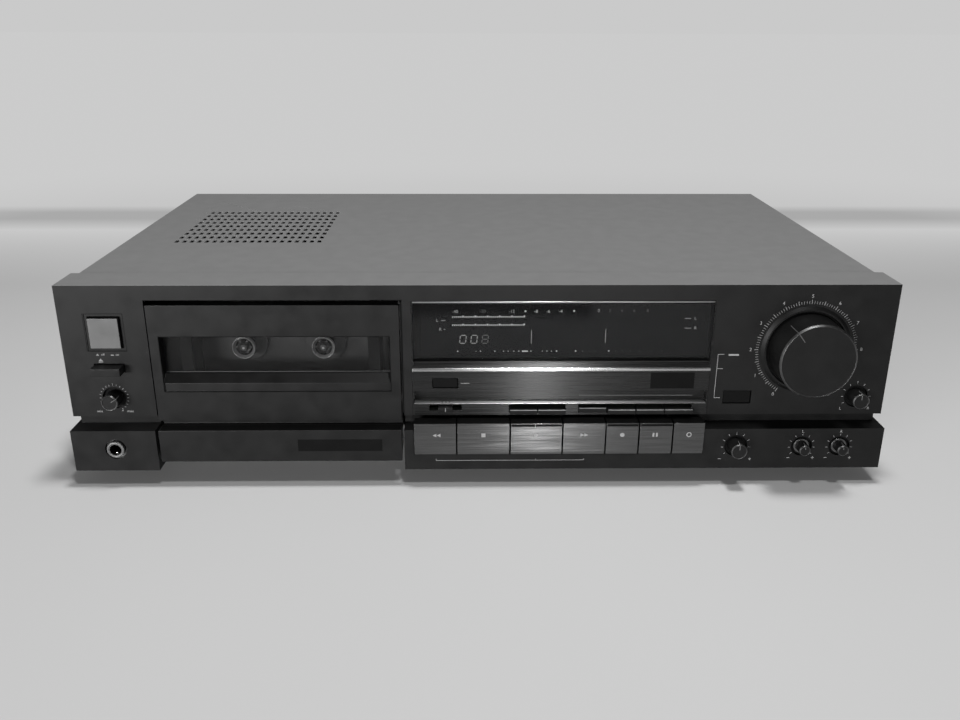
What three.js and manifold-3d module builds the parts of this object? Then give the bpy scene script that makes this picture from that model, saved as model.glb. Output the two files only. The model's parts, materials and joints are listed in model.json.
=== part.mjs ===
// A full-width cassette deck with a front-loading door.
// Millimetres. +X is to the right seen from the front, +Y to the rear, +Z up.
// The sizes are counted from the middle of the width, from the front face of the upper fascia
// and from the surface that the feet stand on. The last group moves the middle of the depth to zero.
import * as THREE from 'three'
import { mergeVertices } from 'three/addons/utils/BufferGeometryUtils.js'
import Module from 'manifold-3d'

const wasm = await Module()
wasm.setup()

// Gaps and facets
const overrun = 1
const clearance = 0.3
const fineSides = 48
const roundSides = 24
const smallSides = 12
const bendSteps = 3
const mergeTolerance = 1e-4

// The tape cassette that the deck is built round
const cassette = {
  width: 100.4,
  height: 63.8,
  thickness: 12,
  hubPitch: 42.5,
  hubHeight: 34.6,
  capstanPitch: 58.8,
  capstanHeight: 7.6,
}

// Front panel moulding
const panel = {
  width: 430,
  wall: 2.6,
  flangeDepth: 23.9,
  floorDepth: 6.8,
  stripHeight: 23.1,
  stripForward: 6.9,
  grooveHeight: 5.5,
  grooveDepth: 4.2,
  grooveInset: 2,
  cassetteLift: 3.2,
  topMargin: 10.1,
  leftSection: 44.2,
  rightSection: 94,
  middlePost: 4.5,
}

const foot = { height: 9.8, radius: 12.5, taper: 1.5, sideInset: 48, frontInset: 30, rearInset: 30 }

const chassis = {
  sheet: 1.2,
  sideInset: 5,
  flangeHeight: 20,
  frontHeight: 12,
  tongueDepth: 16,
  bossRadius: 4,
  bossHeight: 8,
}

const cover = { inset: 3.4, drop: 0.4, depth: 230.2, sheet: 1, hem: 2.2 }

// Grid of slots in the cover, above the transformer
const vents = {
  columns: 20,
  rows: 9,
  columnPitch: 4.5,
  rowPitch: 10.6,
  width: 2.3,
  length: 6.6,
  leftInset: 30.6,
  frontInset: 74.3,
}

const rear = { sheet: 1.2, inset: 1, sideGap: 0.3 }

// Door, its recessed window and the flap under it
const door = {
  margin: 14.2,
  leftGap: 0.5,
  rightGap: 1.5,
  topGap: 2.8,
  topInset: 10.5,
  bottomLift: 2.7,
  thickness: 3,
  bayOffset: 1,
  windowLeft: 4.8,
  windowRight: 5,
  windowLow: 16.7,
  windowHigh: 16.9,
  frameWall: 2.2,
  lipStep: 0.8,
  lipHeight: 4.4,
  slopeHeight: 4.3,
  paneDepth: 5,
  paneThickness: 2,
  sillDrop: 2.5,
}

const flap = {
  stripStep: 0.2,
  gap: 1.6,
  rightGap: 1.3,
  raise: 5.1,
  thickness: 2.5,
  webRear: 5,
  rearWall: 2,
  rise: 9,
}

// Hinge line of the door, and the holder that swings with it
const hinge = { depth: 9, drop: 6.1, pinRadius: 1.8, pinReach: 3.9, earRadius: 4 }
const holder = {
  play: 0.9,
  wall: 1.2,
  front: 8,
  railWidth: 4,
  openingShare: 0.46,
  lowBar: 9.5,
  highBar: 7.5,
  topDrop: 2.9,
  lip: 1.2,
  lipWidth: 5.2,
  stopWidth: 8,
  stopDrop: 0.3,
}

// How far the cassette stands behind the fascia, and the plate behind it
const bayDepth = 13.5
const mechanism = {
  plateGap: 4,
  plate: 1.5,
  leftMargin: 31.8,
  rightMargin: 11.8,
  rise: 4,
  earGap: 0.7,
  earWall: 2,
  earRise: 6,
  bracketGap: 17.5,
  bracket: 1.4,
  postRadius: 3,
  postDrop: 22,
  cornerDrop: 22,
  cornerInset: 12,
}

const reel = {
  discRadius: 11,
  discThickness: 2.2,
  hubRadius: 3.4,
  splineRadius: 4.3,
  splineWidth: 1.1,
  splines: 6,
  tipRadius: 1.8,
  tipLength: 1.4,
  tipInset: 2.5,
  shaftRadius: 1.5,
  backRadius: 8,
  backThickness: 2,
}

const capstan = {
  radius: 1.25,
  tipInset: 0.5,
  bearingRadius: 3.6,
  bearingLength: 4,
  flywheelRadius: 27,
  flywheelThickness: 9,
  flywheelGap: 6,
  hubRadius: 6,
  hubStep: 1.5,
}

const belt = { thickness: 1, width: 5 }
const capstanMotor = { reach: 35.7, pulleyRadius: 4, radius: 16, length: 28, shaftRadius: 1.2, shaftDepth: 4 }
const reelMotor = { radius: 11, length: 15.5, beltGap: 1 }

// Head carriage, its heads and the pinch rollers
const heads = {
  travel: 8,
  plate: 1.5,
  halfWidth: 36,
  plateHeight: 18,
  restGap: 0.9,
  blockHalfWidth: 9,
  blockHeight: 9,
  slot: 0.6,
  slotPitch: 6,
  slotDepth: 4,
  shelf: 2,
  frontInset: 1.5,
}
const roller = { radius: 6.4, bore: 1.3, axle: 1, length: 7, headRadius: 2, headThickness: 0.8, inset: 1.3 }

// Controls of the left section: places are counted from the left end and the fascia's lower edge
const power = {
  fromSide: 23.1,
  above: 46.7,
  width: 15.6,
  height: 16.2,
  proud: 1.5,
  gap: 0.6,
  frame: 2,
  frameStep: 0.4,
  depth: 5,
  travel: 3,
}
const eject = { fromSide: 22.9, above: 27.3, width: 15, height: 4.2, proud: 7, gap: 0.4, travel: 3 }
const phonesKnob = { fromSide: 23, above: 10.55, radius: 4.3, proud: 7.8, hole: 6.1 }
const jack = {
  fromSide: 22.7,
  above: 12.5,
  radius: 4.5,
  gap: 1.2,
  bore: 3.25,
  proud: 0.9,
  depth: 22,
  bodyHalf: 7,
  bodyLength: 16,
}

// Controls of the right section, counted from the right end
const inputKnob = {
  fromSide: 45,
  above: 36.6,
  radius: 19.6,
  proud: 19,
  hole: 21.3,
  ring: 23.7,
  ringProud: 1.2,
  ringSlope: 1.6,
  chamfer: 0.8,
  notchLength: 5.5,
  notchWidth: 0.9,
  notchDepth: 0.5,
  notchDegrees: 128,
}
const balanceKnob = { fromSide: 15, above: 10.1, radius: 4.3, proud: 7.8, hole: 6.2 }
const monitor = { fromSide: 78.5, above: 9.85, width: 15, height: 7.5, gap: 0.4, inset: 0.5, depth: 4.5 }
const biasKnob = { fromSide: 78.5, above: 13.25, radius: 4.25, proud: 7.8, hole: 6.1 }
const recKnob = { fromSides: [43.2, 23], above: 12.9, collar: 4.2, radius: 3, proud: 6.3, hole: 5.6 }
const knobChamfer = 0.5
const pot = { shaft: 1.6, radius: 6, bigRadius: 13, bigShaft: 3, knobBack: 1.2 }

// Boards behind the fascia
const board = { thickness: 1.6, depth: 9.5, leftWidth: 38, lowMargin: 3.2, highMargin: 10, switchWidth: 4.5 }

// Centre panel: heights are counted from the fascia's lower edge, insets from its top
const centre = {
  gap: 0.15,
  cheek: 0.5,
  depth: 8.2,
  skin: 2.2,
  ledge: 6.6,
  recessTop: 13.8,
  recessDepth: 5.4,
  barBottom: 24.9,
  barHeight: 2,
  slope: 2.2,
  slopeDepth: 2,
  sill: 0.7,
  topInset: 8.3,
  windowInset: 9.7,
  bevelDepth: 1.4,
}
const bar = { proud: 0.9, chamfer: 0.4 }
const windowPane = { front: 0.8, thickness: 2.4, rollHeight: 5.6, rollDepth: 2.4, rollSteps: 5 }
const display = {
  glassFront: 5.7,
  flangeDepth: 7.5,
  flange: 2,
  sideInset: 4.5,
  lowInset: 2.6,
  highInset: 1.2,
}
const reset = { fromLeft: 17.35, above: 18.2, width: 13.7, height: 5.8, gap: 0.4, inset: 0.4, depth: 6 }
const timer = {
  above: 4.25,
  slotWidth: 17.3,
  slotHeight: 3.3,
  width: 7.5,
  height: 2.6,
  proud: 3,
  depth: 4,
}
const levers = {
  lowInset: 1.2,
  slotHeight: 4.9,
  height: 2.6,
  gap: 0.5,
  proud: 3.3,
  pressed: 2.6,
  depth: 5.6,
  counts: [2, 4],
  pressedNumber: 3,
}
// Where each row of levers starts, and how wide one lever is, against the panel's width
const leverStartShares = [0.326, 0.562]
const leverPitchShare = 0.0965

// Transport buttons in the lower strip
const transport = {
  leftInset: 0.5,
  rightInset: 2.1,
  sill: 8.7,
  gap: 0.6,
  bottomGap: 0.5,
  topGap: 1.1,
  proud: 1.9,
  slopeHeight: 2.4,
  slopeDepth: 1,
  depth: 7.8,
  travel: 2.5,
  guideFront: 2,
  stemWidth: 6,
  stemHeight: 4,
  stemRise: 4,
  stemEnd: 4,
}
const transportNames = ['rewind', 'stop', 'play', 'forward', 'record', 'pause', 'mute']
const transportWidthShares = [22.5, 27.9, 27.4, 22.55, 17.4, 17.75, 16.8]

// Things on the floor of the chassis, counted from the left end, the right end and the rear panel
const transformer = {
  fromSide: 70,
  inletGap: 0.2,
  width: 66,
  depth: 48,
  height: 54,
  coilWidth: 46,
  coilBulge: 9,
  coilDrop: 9,
}
const heatSink = { fromSide: 78, width: 78, base: 4, finDepth: 26, fins: 9, fin: 1.6, height: 62 }
// Where the heat sink stands between the capstan motor and the transformer
const sinkPlaceShare = 0.466437
const mainBoard = { left: 150, right: 18, front: 60, rear: 18, thickness: 1.6, bossInset: 8 }
const capacitors = { count: 6, radius: 6, height: 18, pitch: 22, fromRight: 60, front: 90 }

// Sockets in the rear panel, counted from the right end and the left end
const socket = {
  fromSide: 68,
  rise: 46,
  pitchX: 26,
  pitchZ: 20,
  radius: 4.1,
  hole: 4.6,
  bore: 1.7,
  boreDepth: 8,
  reach: 7.6,
  block: 12,
  margin: 8,
}
const inlet = {
  fromSide: 40,
  rise: 26,
  width: 24,
  height: 18,
  proud: 1.5,
  depth: 20,
  wall: 2.5,
  recess: 14,
  pinRadius: 1.2,
  pinPitch: 9,
  pinLength: 9,
}

// Levels and planes worked out from the sizes above
const halfWidth = panel.width / 2
const stripBottom = foot.height
const stripTop = stripBottom + panel.stripHeight
const fasciaBottom = stripTop + panel.grooveHeight
const cassetteBottom = stripTop + panel.cassetteLift
const cassetteTop = cassetteBottom + cassette.height
const fasciaTop = cassetteTop + panel.topMargin
const stripFront = -panel.stripForward
const chassisTop = stripBottom + chassis.sheet
const chassisHalf = halfWidth - chassis.sideInset
const chassisFront = panel.flangeDepth + clearance
const coverHalf = halfWidth - cover.inset
const coverTop = fasciaTop - cover.drop
const coverRear = chassisFront + cover.depth
const rearPanelRear = coverRear - rear.inset
const rearPanelFront = rearPanelRear - rear.sheet
const socketRear = rearPanelRear + socket.reach

const openingLeft = -halfWidth + panel.leftSection
const doorLeft = openingLeft + door.leftGap
const doorRight = doorLeft + cassette.width + 2 * door.margin
const openingRight = doorRight + door.rightGap
const doorTop = fasciaTop - door.topInset
const doorBottom = stripTop + door.bottomLift
const openingTop = doorTop + door.topGap
const bayX = (doorLeft + doorRight) / 2 + door.bayOffset
const hingeZ = cassetteBottom - hinge.drop
const plateFront = bayDepth + cassette.thickness + mechanism.plateGap
const plateRear = plateFront + mechanism.plate
const mechanismLeft = bayX - cassette.width / 2 - mechanism.leftMargin
const mechanismRight = bayX + cassette.width / 2 + mechanism.rightMargin
const hubZ = cassetteBottom + cassette.hubHeight
const capstanZ = cassetteBottom + cassette.capstanHeight
const holderInner = cassette.width / 2 + holder.play
const holderOuter = holderInner + holder.wall
const bracketFront = plateRear + mechanism.bracketGap

const centreLeft = openingRight + panel.middlePost
const centreRight = halfWidth - panel.rightSection
const centreWidth = centreRight - centreLeft
const centreTop = fasciaTop - centre.topInset
const windowBottom = fasciaBottom + centre.barBottom + centre.barHeight + centre.slope + centre.sill
const windowTop = fasciaTop - centre.windowInset
const resetX = centreLeft + reset.fromLeft
const transportLeft = centreLeft + transport.leftInset
const transportRight = centreRight - transport.rightInset
const transportSill = stripBottom + transport.sill

// Materials, in the greys that the deck shows
function material(colour, roughness, metalness) {
  return new THREE.MeshStandardMaterial({ color: colour, roughness, metalness, flatShading: true })
}
const materials = {
  fascia: material(0x3c3c3c, 0.45, 0.1),
  cover: material(0x7c7c7c, 0.5, 0.3),
  black: material(0x1c1c1c, 0.4, 0),
  button: material(0x909090, 0.4, 0.3),
  brushed: material(0x6a6a6a, 0.35, 0.8),
  chrome: material(0xd8d8d8, 0.15, 1),
  glass: material(0x202020, 0.1, 0),
  steel: material(0xa0a0a0, 0.4, 0.9),
  rubber: material(0x141414, 0.8, 0),
  circuit: material(0x54604c, 0.6, 0),
  iron: material(0x484848, 0.5, 0.6),
  display: material(0x30383a, 0.2, 0),
}

// Solids
function solid(geometry) {
  geometry.deleteAttribute('normal')
  geometry.deleteAttribute('uv')
  const merged = mergeVertices(geometry, mergeTolerance)
  const corners = merged.index.array
  const kept = []
  for (let i = 0; i < corners.length; i += 3) {
    const [a, b, c] = corners.slice(i, i + 3)
    if (a !== b && b !== c && c !== a) kept.push(a, b, c)
  }
  return new wasm.Manifold(
    new wasm.Mesh({
      numProp: 3,
      vertProperties: new Float32Array(merged.attributes.position.array),
      triVerts: new Uint32Array(kept),
    }),
  )
}

function box([x0, x1], [y0, y1], [z0, z1]) {
  const geometry = new THREE.BoxGeometry(x1 - x0, y1 - y0, z1 - z0)
  geometry.translate((x0 + x1) / 2, (y0 + y1) / 2, (z0 + z1) / 2)
  return solid(geometry)
}

function about(middle, width) {
  return [middle - width / 2, middle + width / 2]
}

// A rod along Y, between two depths
function rod(x, z, radius, [y0, y1], sides = smallSides) {
  const geometry = new THREE.CylinderGeometry(radius, radius, y1 - y0, sides)
  geometry.translate(x, (y0 + y1) / 2, z)
  return solid(geometry)
}

// A rod along X
function crossRod(y, z, radius, [x0, x1], sides = smallSides) {
  const geometry = new THREE.CylinderGeometry(radius, radius, x1 - x0, sides)
  geometry.rotateZ(Math.PI / 2)
  geometry.translate((x0 + x1) / 2, y, z)
  return solid(geometry)
}

// A rod standing along Z
function post(x, y, radius, [z0, z1], sides = smallSides) {
  const geometry = new THREE.CylinderGeometry(radius, radius, z1 - z0, sides)
  geometry.rotateX(Math.PI / 2)
  geometry.translate(x, y, (z0 + z1) / 2)
  return solid(geometry)
}

// A turned piece round an axis along Y: the points are radius and depth, from the front backwards
function turned(x, z, points, sides = roundSides) {
  const profile = points.map(([radius, depth]) => new THREE.Vector2(radius, depth))
  const geometry = new THREE.LatheGeometry(profile, sides)
  geometry.translate(x, 0, z)
  return solid(geometry)
}

// An outline of depths and heights, drawn out along X
function drawnOut(points, [x0, x1]) {
  const shape = new THREE.Shape(points.map(([y, z]) => new THREE.Vector2(y, z)))
  const geometry = new THREE.ExtrudeGeometry(shape, { depth: x1 - x0, bevelEnabled: false })
  const turn = new THREE.Matrix4().makeBasis(
    new THREE.Vector3(0, 1, 0),
    new THREE.Vector3(0, 0, 1),
    new THREE.Vector3(1, 0, 0),
  )
  geometry.applyMatrix4(turn)
  geometry.translate(x0, 0, 0)
  return solid(geometry)
}

function joined(...solids) {
  return solids.reduce((all, next) => all.add(next))
}

function cutBy(body, ...tools) {
  return tools.reduce((left, tool) => left.subtract(tool), body)
}

function grown([low, high], by = overrun) {
  return [low - by, high + by]
}

// Where each control is
const leftX = (control) => -halfWidth + control.fromSide
const rightX = (control) => halfWidth - control.fromSide
const onFascia = (control) => fasciaBottom + control.above
const onStrip = (control) => stripBottom + control.above

// The span in X of each lever slot and of each lever in it
function leverRows() {
  const pitch = leverPitchShare * centreWidth
  return levers.counts.map((count, row) => {
    const start = centreLeft + leverStartShares[row] * centreWidth
    const spans = []
    for (let i = 0; i < count; i++) {
      spans.push(grown([start + i * pitch, start + (i + 1) * pitch], -levers.gap / 2))
    }
    return { slot: grown([start, start + count * pitch], clearance - levers.gap / 2), spans }
  })
}

// The span in X of each transport button
function transportSpans() {
  const total = transportWidthShares.reduce((sum, share) => sum + share)
  const width = transportRight - transportLeft
  let edge = transportLeft
  return transportWidthShares.map((share) => {
    const next = edge + (share / total) * width
    const span = grown([edge, next], -transport.gap / 2)
    edge = next
    return span
  })
}

function stemSpan(span) {
  return about((span[0] + span[1]) / 2, transport.stemWidth)
}

const stemBottom = transportSill + transport.stemRise
const stemHeights = [stemBottom, stemBottom + transport.stemHeight]

// Front panel: upper fascia, groove and lower strip in one moulding
function upperFascia() {
  const inner = halfWidth - panel.wall
  const shell = box([-halfWidth, halfWidth], [0, panel.flangeDepth], [fasciaBottom, fasciaTop])
  const hollow = box(
    [-inner, inner],
    [panel.wall, panel.flangeDepth + overrun],
    [fasciaBottom + panel.wall, fasciaTop - panel.wall],
  )
  const floor = box(
    [-inner, inner],
    [panel.floorDepth, panel.flangeDepth + overrun],
    [fasciaBottom - overrun, fasciaBottom + panel.wall + overrun],
  )
  return cutBy(shell, hollow, floor)
}

function lowerStrip() {
  const inner = halfWidth - panel.wall
  const shell = box([-halfWidth, halfWidth], [stripFront, panel.flangeDepth], [stripBottom, stripTop])
  const heights = [stripBottom + panel.wall, stripTop - panel.wall]
  const depths = [stripFront + panel.wall, panel.flangeDepth + overrun]
  const leftEnd = openingLeft + flap.stripStep - panel.wall
  const rightStart = openingRight + panel.wall
  const roof = box(
    [-inner, inner],
    [panel.floorDepth, panel.flangeDepth + overrun],
    [stripTop - panel.wall - overrun, stripTop + overrun],
  )
  const leftHollow = box([-inner, leftEnd], depths, heights)
  const rightHollow = box([rightStart, inner], depths, heights)
  return cutBy(shell, leftHollow, rightHollow, roof)
}

function grooveWall() {
  const outer = halfWidth - panel.grooveInset
  const inner = halfWidth - panel.wall - panel.grooveInset
  const heights = grown([stripTop, fasciaBottom])
  const ring = box([-outer, outer], [panel.grooveDepth, panel.flangeDepth], heights)
  return cutBy(ring, box([-inner, inner], [panel.floorDepth, panel.flangeDepth + overrun], grown(heights)))
}

function doorOpening() {
  const back = panel.flangeDepth + overrun
  const lowerLeft = openingLeft + flap.stripStep
  const upper = box([openingLeft, openingRight], [-overrun, back], [stripTop, openingTop])
  const heights = [stripBottom - overrun, doorBottom]
  const lower = box([lowerLeft, openingRight], [stripFront - overrun, back], heights)
  return joined(upper, lower)
}

function centreOpening() {
  const across = [centreLeft, centreRight]
  const low = fasciaBottom + levers.lowInset - clearance
  const above = box(across, [-overrun, panel.floorDepth + overrun], [low, centreTop])
  const lip = box(across, [-overrun, panel.grooveDepth], [fasciaBottom - overrun / 2, centreTop])
  return joined(above, lip)
}

function leftHoles() {
  const depths = [-overrun, panel.wall + overrun]
  const powerHole = (gap) => [
    about(leftX(power), power.width + 2 * gap),
    about(onFascia(power), power.height + 2 * gap),
  ]
  const [frameX, frameZ] = powerHole(power.frame)
  const [buttonX, buttonZ] = powerHole(power.gap)
  return [
    box(frameX, [-overrun, power.frameStep], frameZ),
    box(buttonX, depths, buttonZ),
    box(
      about(leftX(eject), eject.width + 2 * eject.gap),
      depths,
      about(onFascia(eject), eject.height + 2 * eject.gap),
    ),
    rod(leftX(phonesKnob), onFascia(phonesKnob), phonesKnob.hole, depths, roundSides),
    rod(leftX(jack), onStrip(jack), jack.radius + jack.gap, stripDepths(), roundSides),
  ]
}

function stripDepths() {
  return [stripFront - overrun, stripFront + panel.wall + overrun]
}

function rightHoles() {
  const depths = [-inputKnob.ringProud - overrun, panel.wall + overrun]
  const recHoles = recKnob.fromSides.map((fromSide) =>
    rod(halfWidth - fromSide, onStrip(recKnob), recKnob.hole, stripDepths(), roundSides),
  )
  return [
    rod(rightX(inputKnob), onFascia(inputKnob), inputKnob.hole, depths, fineSides),
    rod(rightX(balanceKnob), onFascia(balanceKnob), balanceKnob.hole, depths, roundSides),
    box(about(rightX(monitor), monitor.width), depths, about(onFascia(monitor), monitor.height)),
    rod(rightX(biasKnob), onStrip(biasKnob), biasKnob.hole, stripDepths(), roundSides),
    ...recHoles,
  ]
}

// The opening for the transport buttons, and the wall behind it that guides their stems
function transportOpening() {
  return box(
    [transportLeft, transportRight],
    [stripFront - overrun, transport.guideFront],
    [transportSill, stripTop + overrun],
  )
}

function transportGuide() {
  return box(
    grown([transportLeft, transportRight]),
    [transport.guideFront, panel.grooveDepth],
    [stripBottom + panel.wall / 2, stripTop],
  )
}

function stemHoles() {
  return transportSpans().map((span) =>
    box(
      grown(stemSpan(span), clearance),
      grown([transport.guideFront, panel.floorDepth]),
      grown(stemHeights, clearance),
    ),
  )
}

// The raised ring round the input level dial, sloping to the fascia
function dialRing() {
  const points = [
    [0, -inputKnob.ringProud],
    [inputKnob.ring - inputKnob.ringSlope, -inputKnob.ringProud],
    [inputKnob.ring, 0],
    [inputKnob.ring, panel.wall / 2],
    [0, panel.wall / 2],
  ]
  return turned(rightX(inputKnob), onFascia(inputKnob), points, fineSides)
}

function frontPanel() {
  const whole = joined(upperFascia(), lowerStrip(), grooveWall(), dialRing())
  const openings = [doorOpening(), centreOpening(), transportOpening()]
  const opened = cutBy(whole, ...openings, ...leftHoles(), ...rightHoles())
  return cutBy(joined(opened, transportGuide()), ...stemHoles())
}

// Centre panel: window frame, flat with the reset button, recess with a ledge, row of switch slots
function centrePanel() {
  const across = [centreLeft + centre.gap, centreRight - centre.gap]
  const inside = grown(across, -centre.cheek)
  const ledge = fasciaBottom + centre.ledge
  const recessTop = fasciaBottom + centre.recessTop
  const barTop = fasciaBottom + centre.barBottom + centre.barHeight
  const top = centreTop - centre.gap
  const block = box(across, [0, centre.depth], [fasciaBottom, top])
  const back = panel.grooveDepth
  const rearStep = box(
    grown(across),
    [back - centre.gap, centre.depth + overrun],
    [fasciaBottom - overrun, ledge - centre.skin],
  )
  const recess = box(inside, [-overrun, centre.recessDepth], [ledge, recessTop])
  const opening = box(inside, [-overrun, centre.depth + overrun], [windowBottom, windowTop])
  const bevel = drawnOut(
    [
      [-overrun, windowTop - overrun],
      [centre.bevelDepth, windowTop - overrun],
      [centre.bevelDepth, windowTop],
      [0, top - centre.gap],
      [-overrun, top - centre.gap],
    ],
    inside,
  )
  const slope = drawnOut(
    [
      [-overrun, barTop],
      [0, barTop],
      [centre.slopeDepth, barTop + centre.slope],
      [centre.slopeDepth, windowBottom + overrun],
      [-overrun, windowBottom + overrun],
    ],
    inside,
  )
  const hollow = box(
    inside,
    [centre.skin, centre.depth + overrun],
    [recessTop + centre.skin, windowBottom - centre.skin],
  )
  const through = [-overrun, centre.depth + overrun]
  const resetHole = box(about(resetX, reset.width), through, about(onFascia(reset), reset.height))
  const timerSlot = box(about(resetX, timer.slotWidth), through, about(onFascia(timer), timer.slotHeight))
  const low = fasciaBottom + levers.lowInset
  const slots = leverRows().map((row) => box(row.slot, through, [low, low + levers.slotHeight]))
  return cutBy(block, rearStep, recess, opening, bevel, slope, hollow, resetHole, timerSlot, ...slots)
}

function trimBar() {
  const low = fasciaBottom + centre.barBottom
  const high = low + centre.barHeight
  const outline = [
    [0, low],
    [0, high],
    [bar.chamfer - bar.proud, high],
    [-bar.proud, high - bar.chamfer],
    [-bar.proud, low + bar.chamfer],
    [bar.chamfer - bar.proud, low],
  ]
  return drawnOut(outline, [centreLeft + centre.gap, centreRight - centre.gap])
}

// The smoked window, whose lower edge rolls back
function displayWindow() {
  const low = windowBottom + clearance
  const high = windowTop - clearance
  const front = windowPane.front
  const back = front + windowPane.thickness
  const roll = []
  for (let i = 0; i <= windowPane.rollSteps; i++) {
    const angle = ((i / windowPane.rollSteps) * Math.PI) / 2
    const depth = front + windowPane.rollDepth * (1 - Math.cos(angle))
    roll.push([depth, low + windowPane.rollHeight * (1 - Math.sin(angle))])
  }
  const outline = [
    [back, high],
    [front, high],
    ...roll,
    [back + windowPane.thickness / 2, low],
    [back, low + windowPane.rollHeight / 2],
  ]
  const inset = centre.gap + centre.cheek + clearance
  return drawnOut(outline.reverse(), [centreLeft + inset, centreRight - inset])
}

function displayModule() {
  const across = grown([centreLeft, centreRight], -display.sideInset)
  const glass = box(
    across,
    [display.glassFront, centre.depth + display.flange],
    [windowBottom + display.lowInset, windowTop - display.highInset],
  )
  const flange = box(
    [centreLeft, centreRight],
    [centre.depth + clearance, centre.depth + clearance + display.flangeDepth],
    [windowBottom, windowTop],
  )
  return joined(glass, flange)
}

// The steel case
function topCover() {
  const inner = coverHalf - cover.sheet
  const low = stripBottom + cover.hem
  const shell = box([-coverHalf, coverHalf], [chassisFront, coverRear], [low, coverTop])
  const inside = [low - overrun, coverTop - cover.sheet]
  const hollow = box([-inner, inner], grown([chassisFront, coverRear]), inside)
  const heights = grown([coverTop - cover.sheet, coverTop])
  const slots = []
  for (let row = 0; row < vents.rows; row++) {
    for (let column = 0; column < vents.columns; column++) {
      const x = -coverHalf + vents.leftInset + column * vents.columnPitch
      const y = chassisFront + vents.frontInset + row * vents.rowPitch
      slots.push(box(about(x, vents.width), about(y, vents.length), heights))
    }
  }
  return cutBy(cutBy(shell, hollow), joined(...slots))
}

function boardCorners() {
  const left = halfWidth - mainBoard.left
  const xs = [-left + mainBoard.bossInset, chassisHalf - mainBoard.right - mainBoard.bossInset]
  const ys = [mainBoard.front + mainBoard.bossInset, rearPanelFront - mainBoard.rear - mainBoard.bossInset]
  return xs.flatMap((x) => ys.map((y) => [x, y]))
}

function bottomChassis() {
  const back = rearPanelFront - clearance
  const floor = box([-chassisHalf, chassisHalf], [chassisFront, back], [stripBottom, chassisTop])
  const heights = [stripBottom, stripBottom + chassis.flangeHeight]
  const sides = [-1, 1].map((side) => {
    const edges = [side * chassisHalf, side * (chassisHalf - chassis.sheet)].sort((a, b) => a - b)
    return box(edges, [chassisFront, back], heights)
  })
  const front = [chassisFront, chassisFront + chassis.sheet]
  const upstand = [stripBottom, stripBottom + chassis.frontHeight]
  const lips = [
    box([-chassisHalf, mechanismLeft - clearance], front, upstand),
    box([mechanismRight + clearance, chassisHalf], front, upstand),
  ]
  const tongue = box(
    grown([openingLeft + flap.stripStep, openingRight], -panel.wall),
    [chassisFront - chassis.tongueDepth, chassisFront + overrun],
    [stripBottom, chassisTop],
  )
  const bosses = boardCorners().map(([x, y]) =>
    post(x, y, chassis.bossRadius, [stripBottom, chassisTop + chassis.bossHeight]),
  )
  return joined(floor, ...sides, ...lips, tongue, ...bosses)
}

function rearPanel() {
  const half = coverHalf - cover.sheet - rear.sideGap
  const heights = [stripBottom, coverTop - cover.sheet - rear.sideGap]
  const plate = box([-half, half], [rearPanelFront, rearPanelRear], heights)
  const depths = grown([rearPanelFront, rearPanelRear])
  const holes = socketPlaces().map(([x, z]) => rod(x, z, socket.hole, depths))
  const inletHole = box(
    about(leftX(inlet), inlet.width + 2 * clearance),
    depths,
    about(stripBottom + inlet.rise, inlet.height + 2 * clearance),
  )
  return cutBy(plate, ...holes, inletHole)
}

function socketPlaces() {
  const middle = halfWidth - socket.fromSide
  const height = stripBottom + socket.rise
  const xs = about(middle, socket.pitchX)
  const zs = about(height, socket.pitchZ)
  return xs.flatMap((x) => zs.map((z) => [x, z]))
}

function socketBlock() {
  const front = rearPanelFront - clearance - socket.block
  const width = socket.pitchX + 2 * socket.margin
  const height = socket.pitchZ + 2 * socket.margin
  const block = box(
    about(halfWidth - socket.fromSide, width),
    [front, rearPanelFront - clearance],
    about(stripBottom + socket.rise, height),
  )
  const boreDepths = [socketRear - socket.boreDepth, socketRear + overrun]
  const barrels = socketPlaces().map(([x, z]) => rod(x, z, socket.radius, [front + overrun, socketRear]))
  const bores = socketPlaces().map(([x, z]) => rod(x, z, socket.bore, boreDepths))
  return cutBy(joined(block, ...barrels), ...bores)
}

function mainsInlet() {
  const x = leftX(inlet)
  const z = stripBottom + inlet.rise
  const back = rearPanelRear + inlet.proud
  const floor = back - inlet.recess
  const body = box(about(x, inlet.width), [rearPanelFront - inlet.depth, back], about(z, inlet.height))
  const recess = box(
    about(x, inlet.width - 2 * inlet.wall),
    [floor, back + overrun],
    about(z, inlet.height - 2 * inlet.wall),
  )
  const pins = about(x, inlet.pinPitch).map((pinX) =>
    rod(pinX, z, inlet.pinRadius, [floor - overrun, floor + inlet.pinLength]),
  )
  return joined(cutBy(body, recess), ...pins)
}

function rubberFoot(x, y) {
  const geometry = new THREE.CylinderGeometry(foot.radius, foot.radius - foot.taper, foot.height, roundSides)
  geometry.rotateX(Math.PI / 2)
  geometry.translate(x, y, foot.height / 2)
  return solid(geometry)
}

// Door: panel with its window frame and sloping sill
const doorWindow = {
  across: [doorLeft + door.windowLeft, doorRight - door.windowRight],
  low: doorBottom + door.windowLow,
  high: doorTop - door.windowHigh,
}
const paneBack = door.paneDepth + door.paneThickness
const frameBack = holder.front - clearance
const paneLow = doorWindow.low + door.lipHeight + door.slopeHeight

function doorPanel() {
  const { across, low, high } = doorWindow
  const plate = box([doorLeft, doorRight], [0, door.thickness], [doorBottom, doorTop])
  const frame = box(
    grown(across, door.frameWall),
    [door.thickness / 2, frameBack],
    [low - door.sillDrop, high + door.frameWall],
  )
  const through = box(across, [-overrun, frameBack + overrun], [low, high])
  const sill = drawnOut(
    [
      [door.lipStep, low - overrun],
      [frameBack, low - overrun],
      [frameBack, paneLow],
      [door.paneDepth, paneLow],
      [door.lipStep, low + door.lipHeight],
    ],
    grown(across, overrun),
  )
  return joined(cutBy(joined(plate, frame), through), sill)
}

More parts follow.
